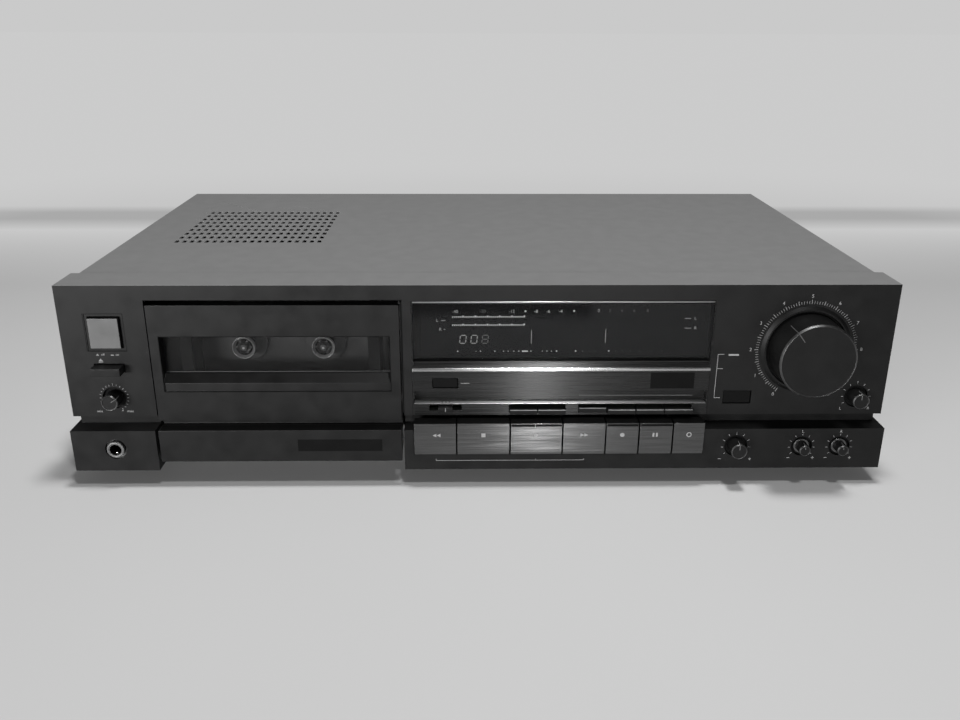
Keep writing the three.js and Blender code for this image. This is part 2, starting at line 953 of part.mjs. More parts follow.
function doorPane() {
  const across = grown(doorWindow.across, -clearance)
  return box(across, [door.paneDepth, paneBack], [paneLow + clearance, doorWindow.high - clearance])
}

// The flap below the door, with the web that closes the groove and its wall behind the door
function doorFlap() {
  const across = [openingLeft + flap.stripStep + flap.gap, openingRight - flap.rightGap]
  const face = box(across, [stripFront, stripFront + flap.thickness], [stripBottom + flap.raise, stripTop])
  const web = box(across, [stripFront, flap.webRear], [stripTop - flap.rearWall, stripTop])
  const wall = box(
    across,
    [door.thickness, flap.webRear],
    [stripTop - flap.rearWall, doorBottom + flap.rise],
  )
  return joined(face, web, wall)
}

// The holder that carries the cassette, with its hinge pins
function cassetteHolder() {
  const outer = about(bayX, 2 * holderOuter)
  const top = cassetteTop - holder.topDrop
  const stopTop = cassetteBottom - holder.stopDrop
  const low = stopTop - holder.wall
  const back = bayDepth + cassette.thickness + clearance
  const frame = box(outer, [holder.front, holder.front + holder.wall], [low, top])
  const opening = box(
    about(bayX, 2 * holder.openingShare * cassette.width),
    grown([holder.front, holder.front + holder.wall]),
    [low + holder.lowBar, top - holder.highBar],
  )
  const pieces = [cutBy(frame, opening)]
  for (const side of [-1, 1]) {
    const span = (from, to) => [bayX + side * from, bayX + side * to].sort((a, b) => a - b)
    const wall = span(holderInner, holderOuter)
    const rail = span(holderInner - holder.railWidth, holderOuter)
    const lip = span(holderInner - holder.lipWidth, holderOuter)
    const stop = span(holderInner - holder.stopWidth, holderOuter)
    const earDepths = [holder.front - holder.wall, hinge.depth + hinge.earRadius]
    pieces.push(
      box(wall, [holder.front, back + holder.lip], [low, top]),
      box(wall, earDepths, [hingeZ - hinge.earRadius, low + overrun]),
      box(rail, [holder.front, bayDepth - clearance], [low + holder.lowBar, top - holder.highBar]),
      box(lip, [back, back + holder.lip], [low, top]),
      box(stop, [holder.front, back + holder.lip], [low, stopTop]),
      crossRod(hinge.depth, hingeZ, hinge.pinRadius, span(holderInner, holderOuter + hinge.pinReach)),
    )
  }
  return joined(...pieces)
}

// Mechanism: plate with bearings and hinge ears, and the bracket that holds the flywheels' rear ends
const supplyX = bayX - cassette.hubPitch / 2
const takeupX = bayX + cassette.hubPitch / 2
const capstanXs = about(bayX, cassette.capstanPitch)
const motorX = capstanXs[0] - capstanMotor.reach

function mechanismPlate() {
  const top = cassetteTop + mechanism.rise
  const across = [mechanismLeft, mechanismRight]
  const plate = box(across, [plateFront, plateRear], [chassisTop, top])
  const earInner = holderOuter + mechanism.earGap
  const earOuter = earInner + mechanism.earWall
  const ears = [-1, 1].map((side) => {
    const span = [bayX + side * earInner, bayX + side * earOuter].sort((a, b) => a - b)
    return box(span, [flap.webRear + 2 * clearance, plateRear], about(hingeZ, 2 * mechanism.earRise))
  })
  const bearings = capstanXs.map((x) =>
    rod(x, capstanZ, capstan.bearingRadius, [plateFront, plateRear + capstan.bearingLength]),
  )
  const bracketRear = bracketFront + mechanism.bracket
  const cornerZ = top - mechanism.cornerDrop
  const bracketAcross = [motorX - capstanMotor.radius, mechanismRight]
  const bracketLow = capstanZ - capstanMotor.radius - mechanism.cornerInset
  const bracketHeights = [bracketLow, cornerZ + mechanism.postRadius]
  const bracket = box(bracketAcross, [bracketFront, bracketRear], bracketHeights)
  const posts = [
    [bayX, capstanZ + mechanism.postDrop],
    [bayX, capstanZ - mechanism.postDrop],
    [across[0] + mechanism.cornerInset, cornerZ],
    [across[1] - mechanism.cornerInset, cornerZ],
  ].map(([x, z]) => rod(x, z, mechanism.postRadius, [plateFront, bracketRear]))
  const pinHole = crossRod(hinge.depth, hingeZ, hinge.pinRadius + clearance, grown(about(bayX, 2 * earOuter)))
  const through = grown([plateFront, plateRear + capstan.bearingLength])
  const reelHoles = [supplyX, takeupX].map((x) => rod(x, hubZ, reel.shaftRadius + clearance, through))
  const capstanHoles = capstanXs.map((x) => rod(x, capstanZ, capstan.radius + clearance, through))
  const motorBore = capstanMotor.shaftRadius + clearance
  const motorHole = rod(motorX, capstanZ, motorBore, grown([bracketFront, bracketRear]))
  const whole = joined(plate, ...ears, ...bearings, bracket, ...posts)
  return cutBy(whole, pinHole, ...reelHoles, ...capstanHoles, motorHole)
}

function reelSpindle(x) {
  const tip = bayDepth + reel.tipInset
  const discBack = plateFront - 2 * clearance
  const back = plateRear + clearance
  const body = turned(x, hubZ, [
    [0, tip],
    [reel.tipRadius, tip],
    [reel.hubRadius, tip + reel.tipLength],
    [reel.hubRadius, discBack - reel.discThickness],
    [reel.discRadius, discBack - reel.discThickness],
    [reel.discRadius, discBack],
    [reel.shaftRadius, discBack],
    [reel.shaftRadius, back],
    [reel.backRadius, back],
    [reel.backRadius, back + reel.backThickness],
    [0, back + reel.backThickness],
  ])
  const splines = []
  const splineFront = tip + reel.tipLength
  const splineRear = discBack - reel.discThickness / 2
  for (let i = 0; i < reel.splines / 2; i++) {
    const geometry = new THREE.BoxGeometry(2 * reel.splineRadius, splineRear - splineFront, reel.splineWidth)
    geometry.rotateY((i * 2 * Math.PI) / reel.splines)
    geometry.translate(x, (splineFront + splineRear) / 2, hubZ)
    splines.push(solid(geometry))
  }
  return joined(body, ...splines)
}

function capstanShaft(x) {
  const wheelFront = plateRear + capstan.flywheelGap
  const wheelBack = wheelFront + capstan.flywheelThickness
  return turned(x, capstanZ, [
    [0, bayDepth + capstan.tipInset],
    [capstan.radius, bayDepth + capstan.tipInset],
    [capstan.radius, wheelFront - capstan.hubStep],
    [capstan.hubRadius, wheelFront - capstan.hubStep],
    [capstan.hubRadius, wheelFront],
    [capstan.flywheelRadius, wheelFront],
    [capstan.flywheelRadius, wheelBack],
    [capstan.radius, wheelBack],
    [capstan.radius, bracketFront - clearance],
    [0, bracketFront - clearance],
  ])
}

// The pulley and the shaft of the capstan motor, which turn in the motor's body
function motorPulley() {
  const middle = plateRear + capstan.flywheelGap + capstan.flywheelThickness / 2
  const motorFront = bracketFront + mechanism.bracket
  return turned(motorX, capstanZ, [
    [0, middle - belt.width],
    [capstanMotor.pulleyRadius, middle - belt.width],
    [capstanMotor.pulleyRadius, middle + belt.width],
    [capstanMotor.shaftRadius, middle + belt.width],
    [capstanMotor.shaftRadius, motorFront + capstanMotor.shaftDepth],
    [0, motorFront + capstanMotor.shaftDepth],
  ])
}

function capstanMotorBody() {
  const front = bracketFront + mechanism.bracket
  const body = rod(motorX, capstanZ, capstanMotor.radius, [front, front + capstanMotor.length], roundSides)
  const bore = rod(
    motorX,
    capstanZ,
    capstanMotor.shaftRadius + clearance,
    [front - overrun, front + capstanMotor.shaftDepth + clearance],
  )
  return cutBy(body, bore)
}

function reelMotorBody() {
  const beltTop = capstanZ + capstan.flywheelRadius + clearance + belt.thickness
  const z = beltTop + reelMotor.beltGap + reelMotor.radius
  return rod(bayX, z, reelMotor.radius, [plateRear, plateRear + reelMotor.length], roundSides)
}

// One flat belt round the motor's pulley and both flywheels, whose centres lie on one line
function beltOutline(extra) {
  const small = capstanMotor.pulleyRadius + extra
  const large = capstan.flywheelRadius + extra
  const lean = Math.asin((large - small) / capstanMotor.reach)
  const points = []
  const arc = (x, radius, from, to, steps) => {
    for (let i = 0; i <= steps; i++) {
      const angle = from + ((to - from) * i) / steps
      points.push(new THREE.Vector2(x + radius * Math.cos(angle), capstanZ + radius * Math.sin(angle)))
    }
  }
  const quarter = Math.PI / 2
  arc(capstanXs[1], large, -quarter, quarter, roundSides)
  arc(capstanXs[0], large, quarter, quarter + lean, bendSteps)
  arc(motorX, small, quarter + lean, 3 * quarter - lean, smallSides)
  arc(capstanXs[0], large, 3 * quarter - lean, 3 * quarter, bendSteps)
  return points
}

function capstanBelt() {
  const outline = new THREE.Shape(beltOutline(clearance + belt.thickness))
  outline.holes.push(new THREE.Path(beltOutline(clearance).reverse()))
  const geometry = new THREE.ExtrudeGeometry(outline, { depth: belt.width, bevelEnabled: false })
  geometry.rotateX(Math.PI / 2)
  const middle = plateRear + capstan.flywheelGap + capstan.flywheelThickness / 2
  geometry.translate(0, middle + belt.width / 2, 0)
  return solid(geometry)
}

function headCarriage() {
  const back = plateFront - clearance
  const front = back - heads.plate
  const topZ = cassetteBottom - heads.restGap
  const shelfTop = topZ - heads.blockHeight
  const rollerTop = capstanZ - capstan.radius - clearance - heads.travel
  const rollerZ = rollerTop - roller.radius
  const blockFront = bayDepth + heads.frontInset
  const tall = [shelfTop - heads.shelf - heads.plateHeight / 2, rollerZ + 2 * roller.headRadius]
  const middle = about(bayX, 2 * heads.blockHalfWidth)
  const plate = box(about(bayX, 2 * heads.halfWidth), [front, back], tall)
  const shelf = box(middle, [blockFront, front + heads.plate / 2], [shelfTop - heads.shelf, shelfTop])
  const block = box(
    middle,
    [blockFront, bayDepth + cassette.thickness - heads.frontInset],
    [shelfTop - heads.shelf / 2, topZ],
  )
  const gaps = about(bayX, heads.slotPitch).map((x) =>
    box(about(x, heads.slot), grown([blockFront, back]), [topZ - heads.slotDepth, topZ + overrun]),
  )
  const rollerFront = bayDepth + roller.inset
  const axles = capstanXs.map((x) =>
    joined(
      rod(x, rollerZ, roller.axle, [rollerFront, back - heads.plate / 2]),
      rod(x, rollerZ, roller.headRadius, [rollerFront, rollerFront + roller.headThickness]),
    ),
  )
  return joined(plate, shelf, cutBy(block, ...gaps), ...axles)
}

function pinchRoller(x) {
  const rollerZ = capstanZ - capstan.radius - clearance - heads.travel - roller.radius
  const front = bayDepth + roller.inset + roller.headThickness + clearance
  const body = rod(x, rollerZ, roller.radius, [front, front + roller.length], roundSides)
  return cutBy(body, rod(x, rollerZ, roller.bore, grown([front, front + roller.length])))
}

// Boards behind the fascia, with the switches and pots on them
function potBody(x, z, radius, front) {
  return rod(x, z, radius, [front, board.depth + board.thickness / 2], roundSides)
}

function leftBoard() {
  const left = -halfWidth + panel.wall + clearance
  const across = [left, left + board.leftWidth]
  const heights = [fasciaBottom + board.lowMargin, fasciaTop - board.highMargin]
  const sheet = box(across, [board.depth, board.depth + board.thickness], heights)
  const switchBody = box(
    about(leftX(power), power.width / 2),
    [power.depth + power.travel + clearance, board.depth + board.thickness / 2],
    about(onFascia(power), power.height / 2),
  )
  const knobPot = potBody(leftX(phonesKnob), onFascia(phonesKnob), pot.radius, panel.wall + pot.knobBack)
  return joined(sheet, switchBody, knobPot)
}

function frontBoard() {
  const sheetDepth = [board.depth, board.depth + board.thickness]
  const low = stripBottom + panel.wall + clearance
  const right = halfWidth - panel.wall - panel.grooveInset - clearance
  const left = openingRight + panel.wall + clearance
  const lower = box([left, right], sheetDepth, [low, fasciaBottom + centre.ledge])
  const upper = box([centreRight + board.lowMargin, right], sheetDepth, [low, fasciaTop - board.highMargin])
  const switches = transportSpans().map((span) =>
    box(
      about((span[0] + span[1]) / 2, board.switchWidth),
      [transport.stemEnd + transport.travel + clearance, board.depth + board.thickness / 2],
      stemHeights,
    ),
  )
  const stripPot = stripFront + panel.wall + pot.knobBack
  const recPots = recKnob.fromSides.map((fromSide) =>
    potBody(halfWidth - fromSide, onStrip(recKnob), pot.radius, stripPot),
  )
  return joined(
    lower,
    upper,
    ...switches,
    potBody(rightX(inputKnob), onFascia(inputKnob), pot.bigRadius, panel.wall + pot.knobBack),
    potBody(rightX(balanceKnob), onFascia(balanceKnob), pot.radius, panel.wall + pot.knobBack),
    potBody(rightX(biasKnob), onStrip(biasKnob), pot.radius, stripPot),
    ...recPots,
  )
}

function phonesJack() {
  const x = leftX(jack)
  const z = onStrip(jack)
  const front = stripFront - jack.proud
  const bodyFront = stripFront + panel.wall + clearance
  const sleeve = rod(x, z, jack.radius, [front, bodyFront + overrun], roundSides)
  const around = 2 * jack.bodyHalf
  const body = box(about(x, around), [bodyFront, bodyFront + jack.bodyLength], about(z, around))
  const bore = rod(x, z, jack.bore, [front - overrun, front + jack.depth])
  return cutBy(joined(sleeve, body), bore)
}

// Inner parts that stand on the chassis, in a row between the capstan motor and the mains inlet
const coilRear = rearPanelFront - inlet.depth - transformer.inletGap
const transformerRear = coilRear - transformer.coilBulge
const transformerFront = transformerRear - transformer.depth
const motorRear = bracketFront + mechanism.bracket + capstanMotor.length
const sinkDepth = heatSink.base + heatSink.finDepth
const sinkRoom = transformerFront - transformer.coilBulge - motorRear - sinkDepth
const sinkFront = motorRear + sinkPlaceShare * sinkRoom

function powerTransformer() {
  const x = leftX(transformer)
  const depths = [transformerFront, transformerRear]
  const core = box(about(x, transformer.width), depths, [chassisTop, chassisTop + transformer.height])
  const coil = box(
    about(x, transformer.coilWidth),
    grown(depths, transformer.coilBulge),
    [chassisTop + transformer.coilDrop, chassisTop + transformer.height - transformer.coilDrop],
  )
  return joined(core, coil)
}

function coolingFins() {
  const x = leftX(heatSink)
  const across = about(x, heatSink.width)
  const heights = [chassisTop, chassisTop + heatSink.height]
  const base = box(across, [sinkFront, sinkFront + heatSink.base], heights)
  const fins = []
  for (let i = 0; i < heatSink.fins; i++) {
    const middle = across[0] + heatSink.fin / 2 + (i * (heatSink.width - heatSink.fin)) / (heatSink.fins - 1)
    const depths = [sinkFront + heatSink.base / 2, sinkFront + sinkDepth]
    fins.push(box(about(middle, heatSink.fin), depths, heights))
  }
  return joined(base, ...fins)
}

function circuitBoard() {
  const low = chassisTop + chassis.bossHeight
  const left = -(halfWidth - mainBoard.left)
  const sheet = box(
    [left, chassisHalf - mainBoard.right],
    [mainBoard.front, rearPanelFront - mainBoard.rear],
    [low, low + mainBoard.thickness],
  )
  const cans = []
  for (let i = 0; i < capacitors.count; i++) {
    const x = chassisHalf - capacitors.fromRight - i * capacitors.pitch
    const top = low + mainBoard.thickness + capacitors.height
    cans.push(post(x, capacitors.front, capacitors.radius, [low + mainBoard.thickness / 2, top]))
  }
  return joined(sheet, ...cans)
}

// Knobs and buttons
function knob(x, z, { radius, proud, chamfer = knobChamfer }, surface, shaft, sides) {
  const front = surface - proud
  const back = surface + pot.knobBack
  const shaftEnd = back + panel.wall - clearance
  return turned(
    x,
    z,
    [
      [0, front],
      [radius - chamfer, front],
      [radius, front + chamfer],
      [radius, back],
      [shaft, back],
      [shaft, shaftEnd],
      [0, shaftEnd],
    ],
    sides,
  )
}

function smallKnob(across, up, control, surface) {
  return knob(across(control), up(control), control, surface, pot.shaft, roundSides)
}

function inputLevelKnob() {
  const x = rightX(inputKnob)
  const z = onFascia(inputKnob)
  const body = knob(x, z, inputKnob, 0, pot.bigShaft, fineSides)
  const notch = new THREE.BoxGeometry(inputKnob.notchLength, 2 * inputKnob.notchDepth, inputKnob.notchWidth)
  notch.translate(inputKnob.radius - inputKnob.notchLength, -inputKnob.proud, 0)
  notch.rotateY(-THREE.MathUtils.degToRad(inputKnob.notchDegrees))
  notch.translate(x, 0, z)
  return cutBy(body, solid(notch))
}

function calibrationKnob(fromSide) {
  const x = halfWidth - fromSide
  const z = onStrip(recKnob)
  const collarFront = stripFront + knobChamfer
  const back = stripFront + pot.knobBack
  const end = stripFront + panel.wall + pot.knobBack - clearance
  return turned(x, z, [
    [0, stripFront - recKnob.proud],
    [recKnob.radius - knobChamfer, stripFront - recKnob.proud],
    [recKnob.radius, stripFront - recKnob.proud + knobChamfer],
    [recKnob.radius, collarFront],
    [recKnob.collar, collarFront],
    [recKnob.collar, back],
    [pot.shaft, back],
    [pot.shaft, end],
    [0, end],
  ])
}

function pushButton(x, z, { width, height, gap, depth }, front) {
  return box(about(x, width - 2 * gap), [front, depth], about(z, height - 2 * gap))
}

function powerButton() {
  const x = about(leftX(power), power.width)
  return box(x, [-power.proud, power.depth], about(onFascia(power), power.height))
}

function ejectButton() {
  const x = about(leftX(eject), eject.width)
  const back = board.depth - eject.travel - 2 * clearance
  return box(x, [-eject.proud, back], about(onFascia(eject), eject.height))
}

function transportButton(span) {
  const front = stripFront - transport.proud
  const back = front + transport.depth
  const low = transportSill + transport.bottomGap
  const high = fasciaBottom - transport.topGap
  const outline = [
    [front + transport.slopeDepth, low],
    [back, low],
    [back, high],
    [front, high],
    [front, low + transport.slopeHeight],
  ]
  const cap = drawnOut(outline, span)
  const stem = box(stemSpan(span), [front + transport.depth / 2, transport.stemEnd], stemHeights)
  return joined(cap, stem)
}

function timerSlider() {
  return box(about(resetX, timer.width), [-timer.proud, timer.depth], about(onFascia(timer), timer.height))
}

function pushLever(span, pressed) {
  const low = fasciaBottom + levers.lowInset + clearance
  const depth = pressed ? levers.pressed : 0
  return box(span, [depth - levers.proud, depth + levers.depth], [low, low + levers.height])
}

// The whole deck
const deck = new THREE.Group()

function add(name, body, finish) {
  const { vertProperties, triVerts } = body.getMesh()
  const geometry = new THREE.BufferGeometry()
  geometry.setAttribute('position', new THREE.BufferAttribute(vertProperties, 3))
  geometry.setIndex(new THREE.BufferAttribute(triVerts, 1))
  geometry.computeVertexNormals()
  const mesh = new THREE.Mesh(geometry, finish)
  mesh.name = name
  deck.add(mesh)
}

add('front_panel', frontPanel(), materials.fascia)
add('centre_panel', centrePanel(), materials.fascia)
add('display_window', displayWindow(), materials.glass)
add('display_module', displayModule(), materials.display)
add('trim_bar', trimBar(), materials.chrome)
add('bottom_chassis', bottomChassis(), materials.steel)
add('top_cover', topCover(), materials.cover)
add('rear_panel', rearPanel(), materials.cover)
add('socket_block', socketBlock(), materials.black)
add('mains_inlet', mainsInlet(), materials.black)
add('phones_jack', phonesJack(), materials.chrome)

const footSpots = [
  ['foot_front_left', -1, chassisFront + foot.frontInset],
  ['foot_front_right', 1, chassisFront + foot.frontInset],
  ['foot_rear_left', -1, rearPanelFront - foot.rearInset],
  ['foot_rear_right', 1, rearPanelFront - foot.rearInset],
]
for (const [name, side, y] of footSpots) {
  add(name, rubberFoot(side * (halfWidth - foot.sideInset), y), materials.rubber)
}

add('left_board', leftBoard(), materials.circuit)
add('front_board', frontBoard(), materials.circuit)
add('main_board', circuitBoard(), materials.circuit)
add('power_transformer', powerTransformer(), materials.iron)
add('heat_sink', coolingFins(), materials.iron)
add('mechanism_plate', mechanismPlate(), materials.steel)
add('capstan_motor', capstanMotorBody(), materials.steel)
add('reel_motor', reelMotorBody(), materials.steel)
add('capstan_belt', capstanBelt(), materials.rubber)

add('door_panel', doorPanel(), materials.fascia)
add('door_window', doorPane(), materials.glass)
add('door_flap', doorFlap(), materials.fascia)
add('cassette_holder', cassetteHolder(), materials.black)

add('supply_spindle', reelSpindle(supplyX), materials.black)
add('takeup_spindle', reelSpindle(takeupX), materials.black)
add('left_capstan', capstanShaft(capstanXs[0]), materials.steel)
add('right_capstan', capstanShaft(capstanXs[1]), materials.steel)
add('motor_pulley', motorPulley(), materials.steel)
add('head_carriage', headCarriage(), materials.steel)
add('left_pinch_roller', pinchRoller(capstanXs[0]), materials.rubber)
add('right_pinch_roller', pinchRoller(capstanXs[1]), materials.rubber)

add('power_button', powerButton(), materials.button)
add('eject_button', ejectButton(), materials.black)
add('phones_knob', smallKnob(leftX, onFascia, phonesKnob, 0), materials.black)
add('input_level_knob', inputLevelKnob(), materials.black)
add('balance_knob', smallKnob(rightX, onFascia, balanceKnob, 0), materials.black)
add('bias_knob', smallKnob(rightX, onStrip, biasKnob, stripFront), materials.black)
add('left_calibration_knob', calibrationKnob(recKnob.fromSides[0]), materials.black)
add('right_calibration_knob', calibrationKnob(recKnob.fromSides[1]), materials.black)
add('monitor_button', pushButton(rightX(monitor), onFascia(monitor), monitor, monitor.inset), materials.black)
add('counter_reset_button', pushButton(resetX, onFascia(reset), reset, reset.inset), materials.black)
add('timer_slider', timerSlider(), materials.black)

transportSpans().forEach((span, i) => {
  add(`${transportNames[i]}_button`, transportButton(span), materials.brushed)
})

let leverCount = 0
for (const row of leverRows()) {
  for (const span of row.spans) {
    leverCount += 1
    add(`push_lever_${leverCount}`, pushLever(span, leverCount === levers.pressedNumber), materials.brushed)
  }
}

// The middle of the whole depth, from the input knob's face to the sockets' rear ends, comes to zero
deck.position.y = -(socketRear - inputKnob.proud) / 2

const model = new THREE.Group()
model.add(deck)
export default model
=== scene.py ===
# Looks of the cassette deck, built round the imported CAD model.
# Places and sizes of the deck are in millimetres: x to the right, z up from the surface the feet stand on,
# y backwards from the front face of the upper fascia. The function metres turns them into the frame.
# The camera, the floor and the lamps are placed in metres, in the frame itself.
import json
import math
from types import SimpleNamespace as Sizes

import bmesh
import bpy
from mathutils import Matrix, Vector

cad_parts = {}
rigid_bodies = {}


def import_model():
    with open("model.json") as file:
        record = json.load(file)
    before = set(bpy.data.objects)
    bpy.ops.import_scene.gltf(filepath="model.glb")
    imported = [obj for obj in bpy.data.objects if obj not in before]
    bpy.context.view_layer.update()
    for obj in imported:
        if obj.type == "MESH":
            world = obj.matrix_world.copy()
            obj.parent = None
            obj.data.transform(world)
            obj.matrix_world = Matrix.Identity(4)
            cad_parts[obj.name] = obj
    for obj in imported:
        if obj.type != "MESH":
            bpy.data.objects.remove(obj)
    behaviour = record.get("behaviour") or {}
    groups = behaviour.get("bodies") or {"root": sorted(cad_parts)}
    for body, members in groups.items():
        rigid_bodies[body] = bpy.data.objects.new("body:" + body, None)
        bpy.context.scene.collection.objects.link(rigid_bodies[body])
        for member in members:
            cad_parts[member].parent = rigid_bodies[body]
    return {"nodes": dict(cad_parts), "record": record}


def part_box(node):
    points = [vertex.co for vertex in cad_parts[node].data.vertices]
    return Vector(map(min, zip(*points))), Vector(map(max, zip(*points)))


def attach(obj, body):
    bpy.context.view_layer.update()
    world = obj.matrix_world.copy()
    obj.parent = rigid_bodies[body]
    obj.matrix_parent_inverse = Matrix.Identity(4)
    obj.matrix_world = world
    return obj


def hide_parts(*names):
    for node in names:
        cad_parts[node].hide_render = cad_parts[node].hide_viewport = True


for old in list(bpy.data.objects):
    bpy.data.objects.remove(old)

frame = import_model()
bpy.context.view_layer.update()
nodes = frame["nodes"]

MM = 0.001
FASCIA_Y = -121.0
STRIP_Y = -6.9
FULL_CIRCLE = 360
UPRIGHT = 90
HALF = 0.5


def metres(x, y, z):
    return Vector((x * MM, (y + FASCIA_Y) * MM, z * MM))


# Camera
view = Sizes(
    lens=34.53,
    sensor=36.0,
    place=(-0.00718, -0.56962, 0.23849),
    yaw=-0.0161,
    pitch=-0.3599,
    roll=-0.0031,
)
MATRIX_SIZE = 4


def turn_about(axis, angle):
    return Matrix.Rotation(angle, MATRIX_SIZE, axis)


def add_camera():
    data = bpy.data.cameras.new("camera")
    data.lens = view.lens
    data.sensor_width = view.sensor
    data.sensor_fit = "HORIZONTAL"
    camera = bpy.data.objects.new("camera", data)
    bpy.context.scene.collection.objects.link(camera)
    turn = turn_about("Z", view.yaw) @ turn_about("X", view.pitch) @ turn_about("Y", view.roll)
    camera.matrix_world = Matrix.Translation(Vector(view.place)) @ (turn @ turn_about("X", math.pi / 2))
    bpy.context.scene.camera = camera


# Materials
NOISE_LOW, NOISE_HIGH = 0.3, 0.7
CLOUD_DETAIL, GRAIN_DETAIL, SOFT_DETAIL = 4.0, 3.0, 2.0
EVEN = (1, 1, 1)


def grey(value):
    return (value, value, value)


def tint(colour, share):
    return tuple(c * share for c in colour)


finishes = {}


def shader_of(name):
    """A new finish, its node tree and its shader."""
    material = bpy.data.materials.new(name)
    material.use_nodes = True
    finishes[name] = material
    tree = material.node_tree
    return material, tree, tree.nodes["Principled BSDF"]


def fill(tree, node, **inputs):
    """Sets or links a node's inputs, whose names have underscores here for their spaces."""
    for key, value in inputs.items():
        socket = node.inputs[key.replace("_", " ")]
        if isinstance(value, bpy.types.NodeSocket):
            tree.links.new(value, socket)
        else:
            socket.default_value = value
    return node


def add_node(tree, kind, **inputs):
    return fill(tree, tree.nodes.new(kind), **inputs)


def joined(tree, operation, first, second):
    """One value from two, by a sum, product or the like."""
    node = tree.nodes.new("ShaderNodeMath")
    node.operation = operation
    tree.links.new(first, node.inputs[0])
    tree.links.new(second, node.inputs[1])
    return node.outputs[0]


def mixed(tree, share, first, second):
    """The shader that goes from the first to the second as the share goes from 0 to 1."""
    node = tree.nodes.new("ShaderNodeMixShader")
    for socket, value in zip(node.inputs, (share, first, second)):
        tree.links.new(value, socket)
    return node.outputs[0]


def object_place(tree):
    return tree.nodes.new("ShaderNodeTexCoord").outputs["Object"]


def noise(tree, size, detail, stretch=EVEN):
    mapping = add_node(tree, "ShaderNodeMapping", Vector=object_place(tree), Scale=stretch)
    texture = add_node(tree, "ShaderNodeTexNoise", Vector=mapping.outputs["Vector"], Detail=detail)
    return fill(tree, texture, Scale=1 / (size * MM)).outputs["Fac"]


def between(tree, value, low, high, start=NOISE_LOW, end=NOISE_HIGH):
    """The value, spread so that start becomes low and end becomes high."""
    ends = {"From_Min": start, "From_Max": end, "To_Min": low, "To_Max": high}
    return add_node(tree, "ShaderNodeMapRange", Value=value, **ends).outputs["Result"]


def ramp(tree, value, stops):
    """A colour that follows the value, from pairs of value and colour."""
    node = add_node(tree, "ShaderNodeValToRGB", Fac=value)
    elements = node.color_ramp.elements
    while len(elements) < len(stops):
        elements.new(HALF)
    for element, (position, colour) in zip(elements, stops):
        element.position = position
        element.color = (*colour, 1)
    return node.outputs["Color"]


def clouded(tree, clouds, dark, light):
    return ramp(tree, clouds, [(NOISE_LOW, dark), (NOISE_HIGH, light)])


def across_grooves(tree):
    """The direction on the surface that crosses its grooves, which run along x."""
    facing = tree.nodes.new("ShaderNodeNewGeometry")
    across = tree.nodes.new("ShaderNodeVectorMath")
    across.operation = "CROSS_PRODUCT"
    across.inputs[1].default_value = (1, 0, 0)
    tree.links.new(facing.outputs["Normal"], across.inputs[0])
    return across.outputs[0]


def surface(
    name,
    colour,
    roughness,
    metallic=0.0,
    specular=0.5,
    mottle=0.12,
    mottle_size=9.0,
    rough_spread=0.05,
    grain_size=0.35,
    grain_depth=0.004,
    stretch=EVEN,
    anisotropic=0.0,
):
    """A surface with uneven colour and gloss, and a fine grain."""
    material, tree, shader = shader_of(name)
    fill(tree, shader, Metallic=metallic, Specular_IOR_Level=specular, Anisotropic=anisotropic)
    clouds = noise(tree, mottle_size, CLOUD_DETAIL, stretch)
    fine = noise(tree, grain_size, GRAIN_DETAIL, stretch)
    blotches = clouded(tree, clouds, tint(colour, 1 - mottle), tint(colour, 1 + mottle))
    gloss = between(tree, clouds, roughness - rough_spread, roughness + rough_spread)
    bump = add_node(tree, "ShaderNodeBump", Height=fine, Strength=1, Distance=grain_depth * MM)
    fill(tree, shader, Base_Color=blotches, Roughness=gloss, Normal=bump.outputs["Normal"])
    if anisotropic:
        fill(tree, shader, Tangent=across_grooves(tree))


ALONG_GROOVES = (0.02, 1, 1)


def brushed(name, colour, roughness, metallic=1.0, grain_size=0.2, **settings):
    """Metal with fine grooves along x, whose highlight is drawn out across them."""
    settings |= {"stretch": ALONG_GROOVES, "anisotropic": 1.0}
    surface(name, colour, roughness, metallic=metallic, grain_size=grain_size, **settings)


acrylic = Sizes(cloud_size=25, dark=0.004, light=0.006, smooth=0.06, rough=0.1, specular=0.5)
shining = Sizes(cloud_size=1.2, dark_share=0.4, light_share=0.6, dim_share=0.85, roughness=0.5)


def smoked_glass(name, cover):
    """Dark acrylic: part of what is behind it shows through."""
    material, tree, shader = shader_of(name)
    clouds = noise(tree, acrylic.cloud_size, SOFT_DETAIL)
    shade = clouded(tree, clouds, grey(acrylic.dark), grey(acrylic.light))
    gloss = between(tree, clouds, acrylic.smooth, acrylic.rough)
    fill(tree, shader, Base_Color=shade, Roughness=gloss)
    fill(tree, shader, Metallic=0, Specular_IOR_Level=acrylic.specular, Alpha=cover)


def lit(name, colour, strength):
    """A mark that shines by itself, a little unevenly."""
    material, tree, shader = shader_of(name)
    clouds = noise(tree, shining.cloud_size, GRAIN_DETAIL)
    shade = clouded(tree, clouds, tint(colour, shining.dark_share), tint(colour, shining.light_share))
    light = clouded(tree, clouds, tint(colour, shining.dim_share), colour)
    fill(tree, shader, Base_Color=shade, Roughness=shining.roughness)
    fill(tree, shader, Emission_Color=light, Emission_Strength=strength)


def ink(name, tone):
    surface(name, grey(tone), 0.5, mottle=0.1, mottle_size=1.5, grain_depth=0.001)


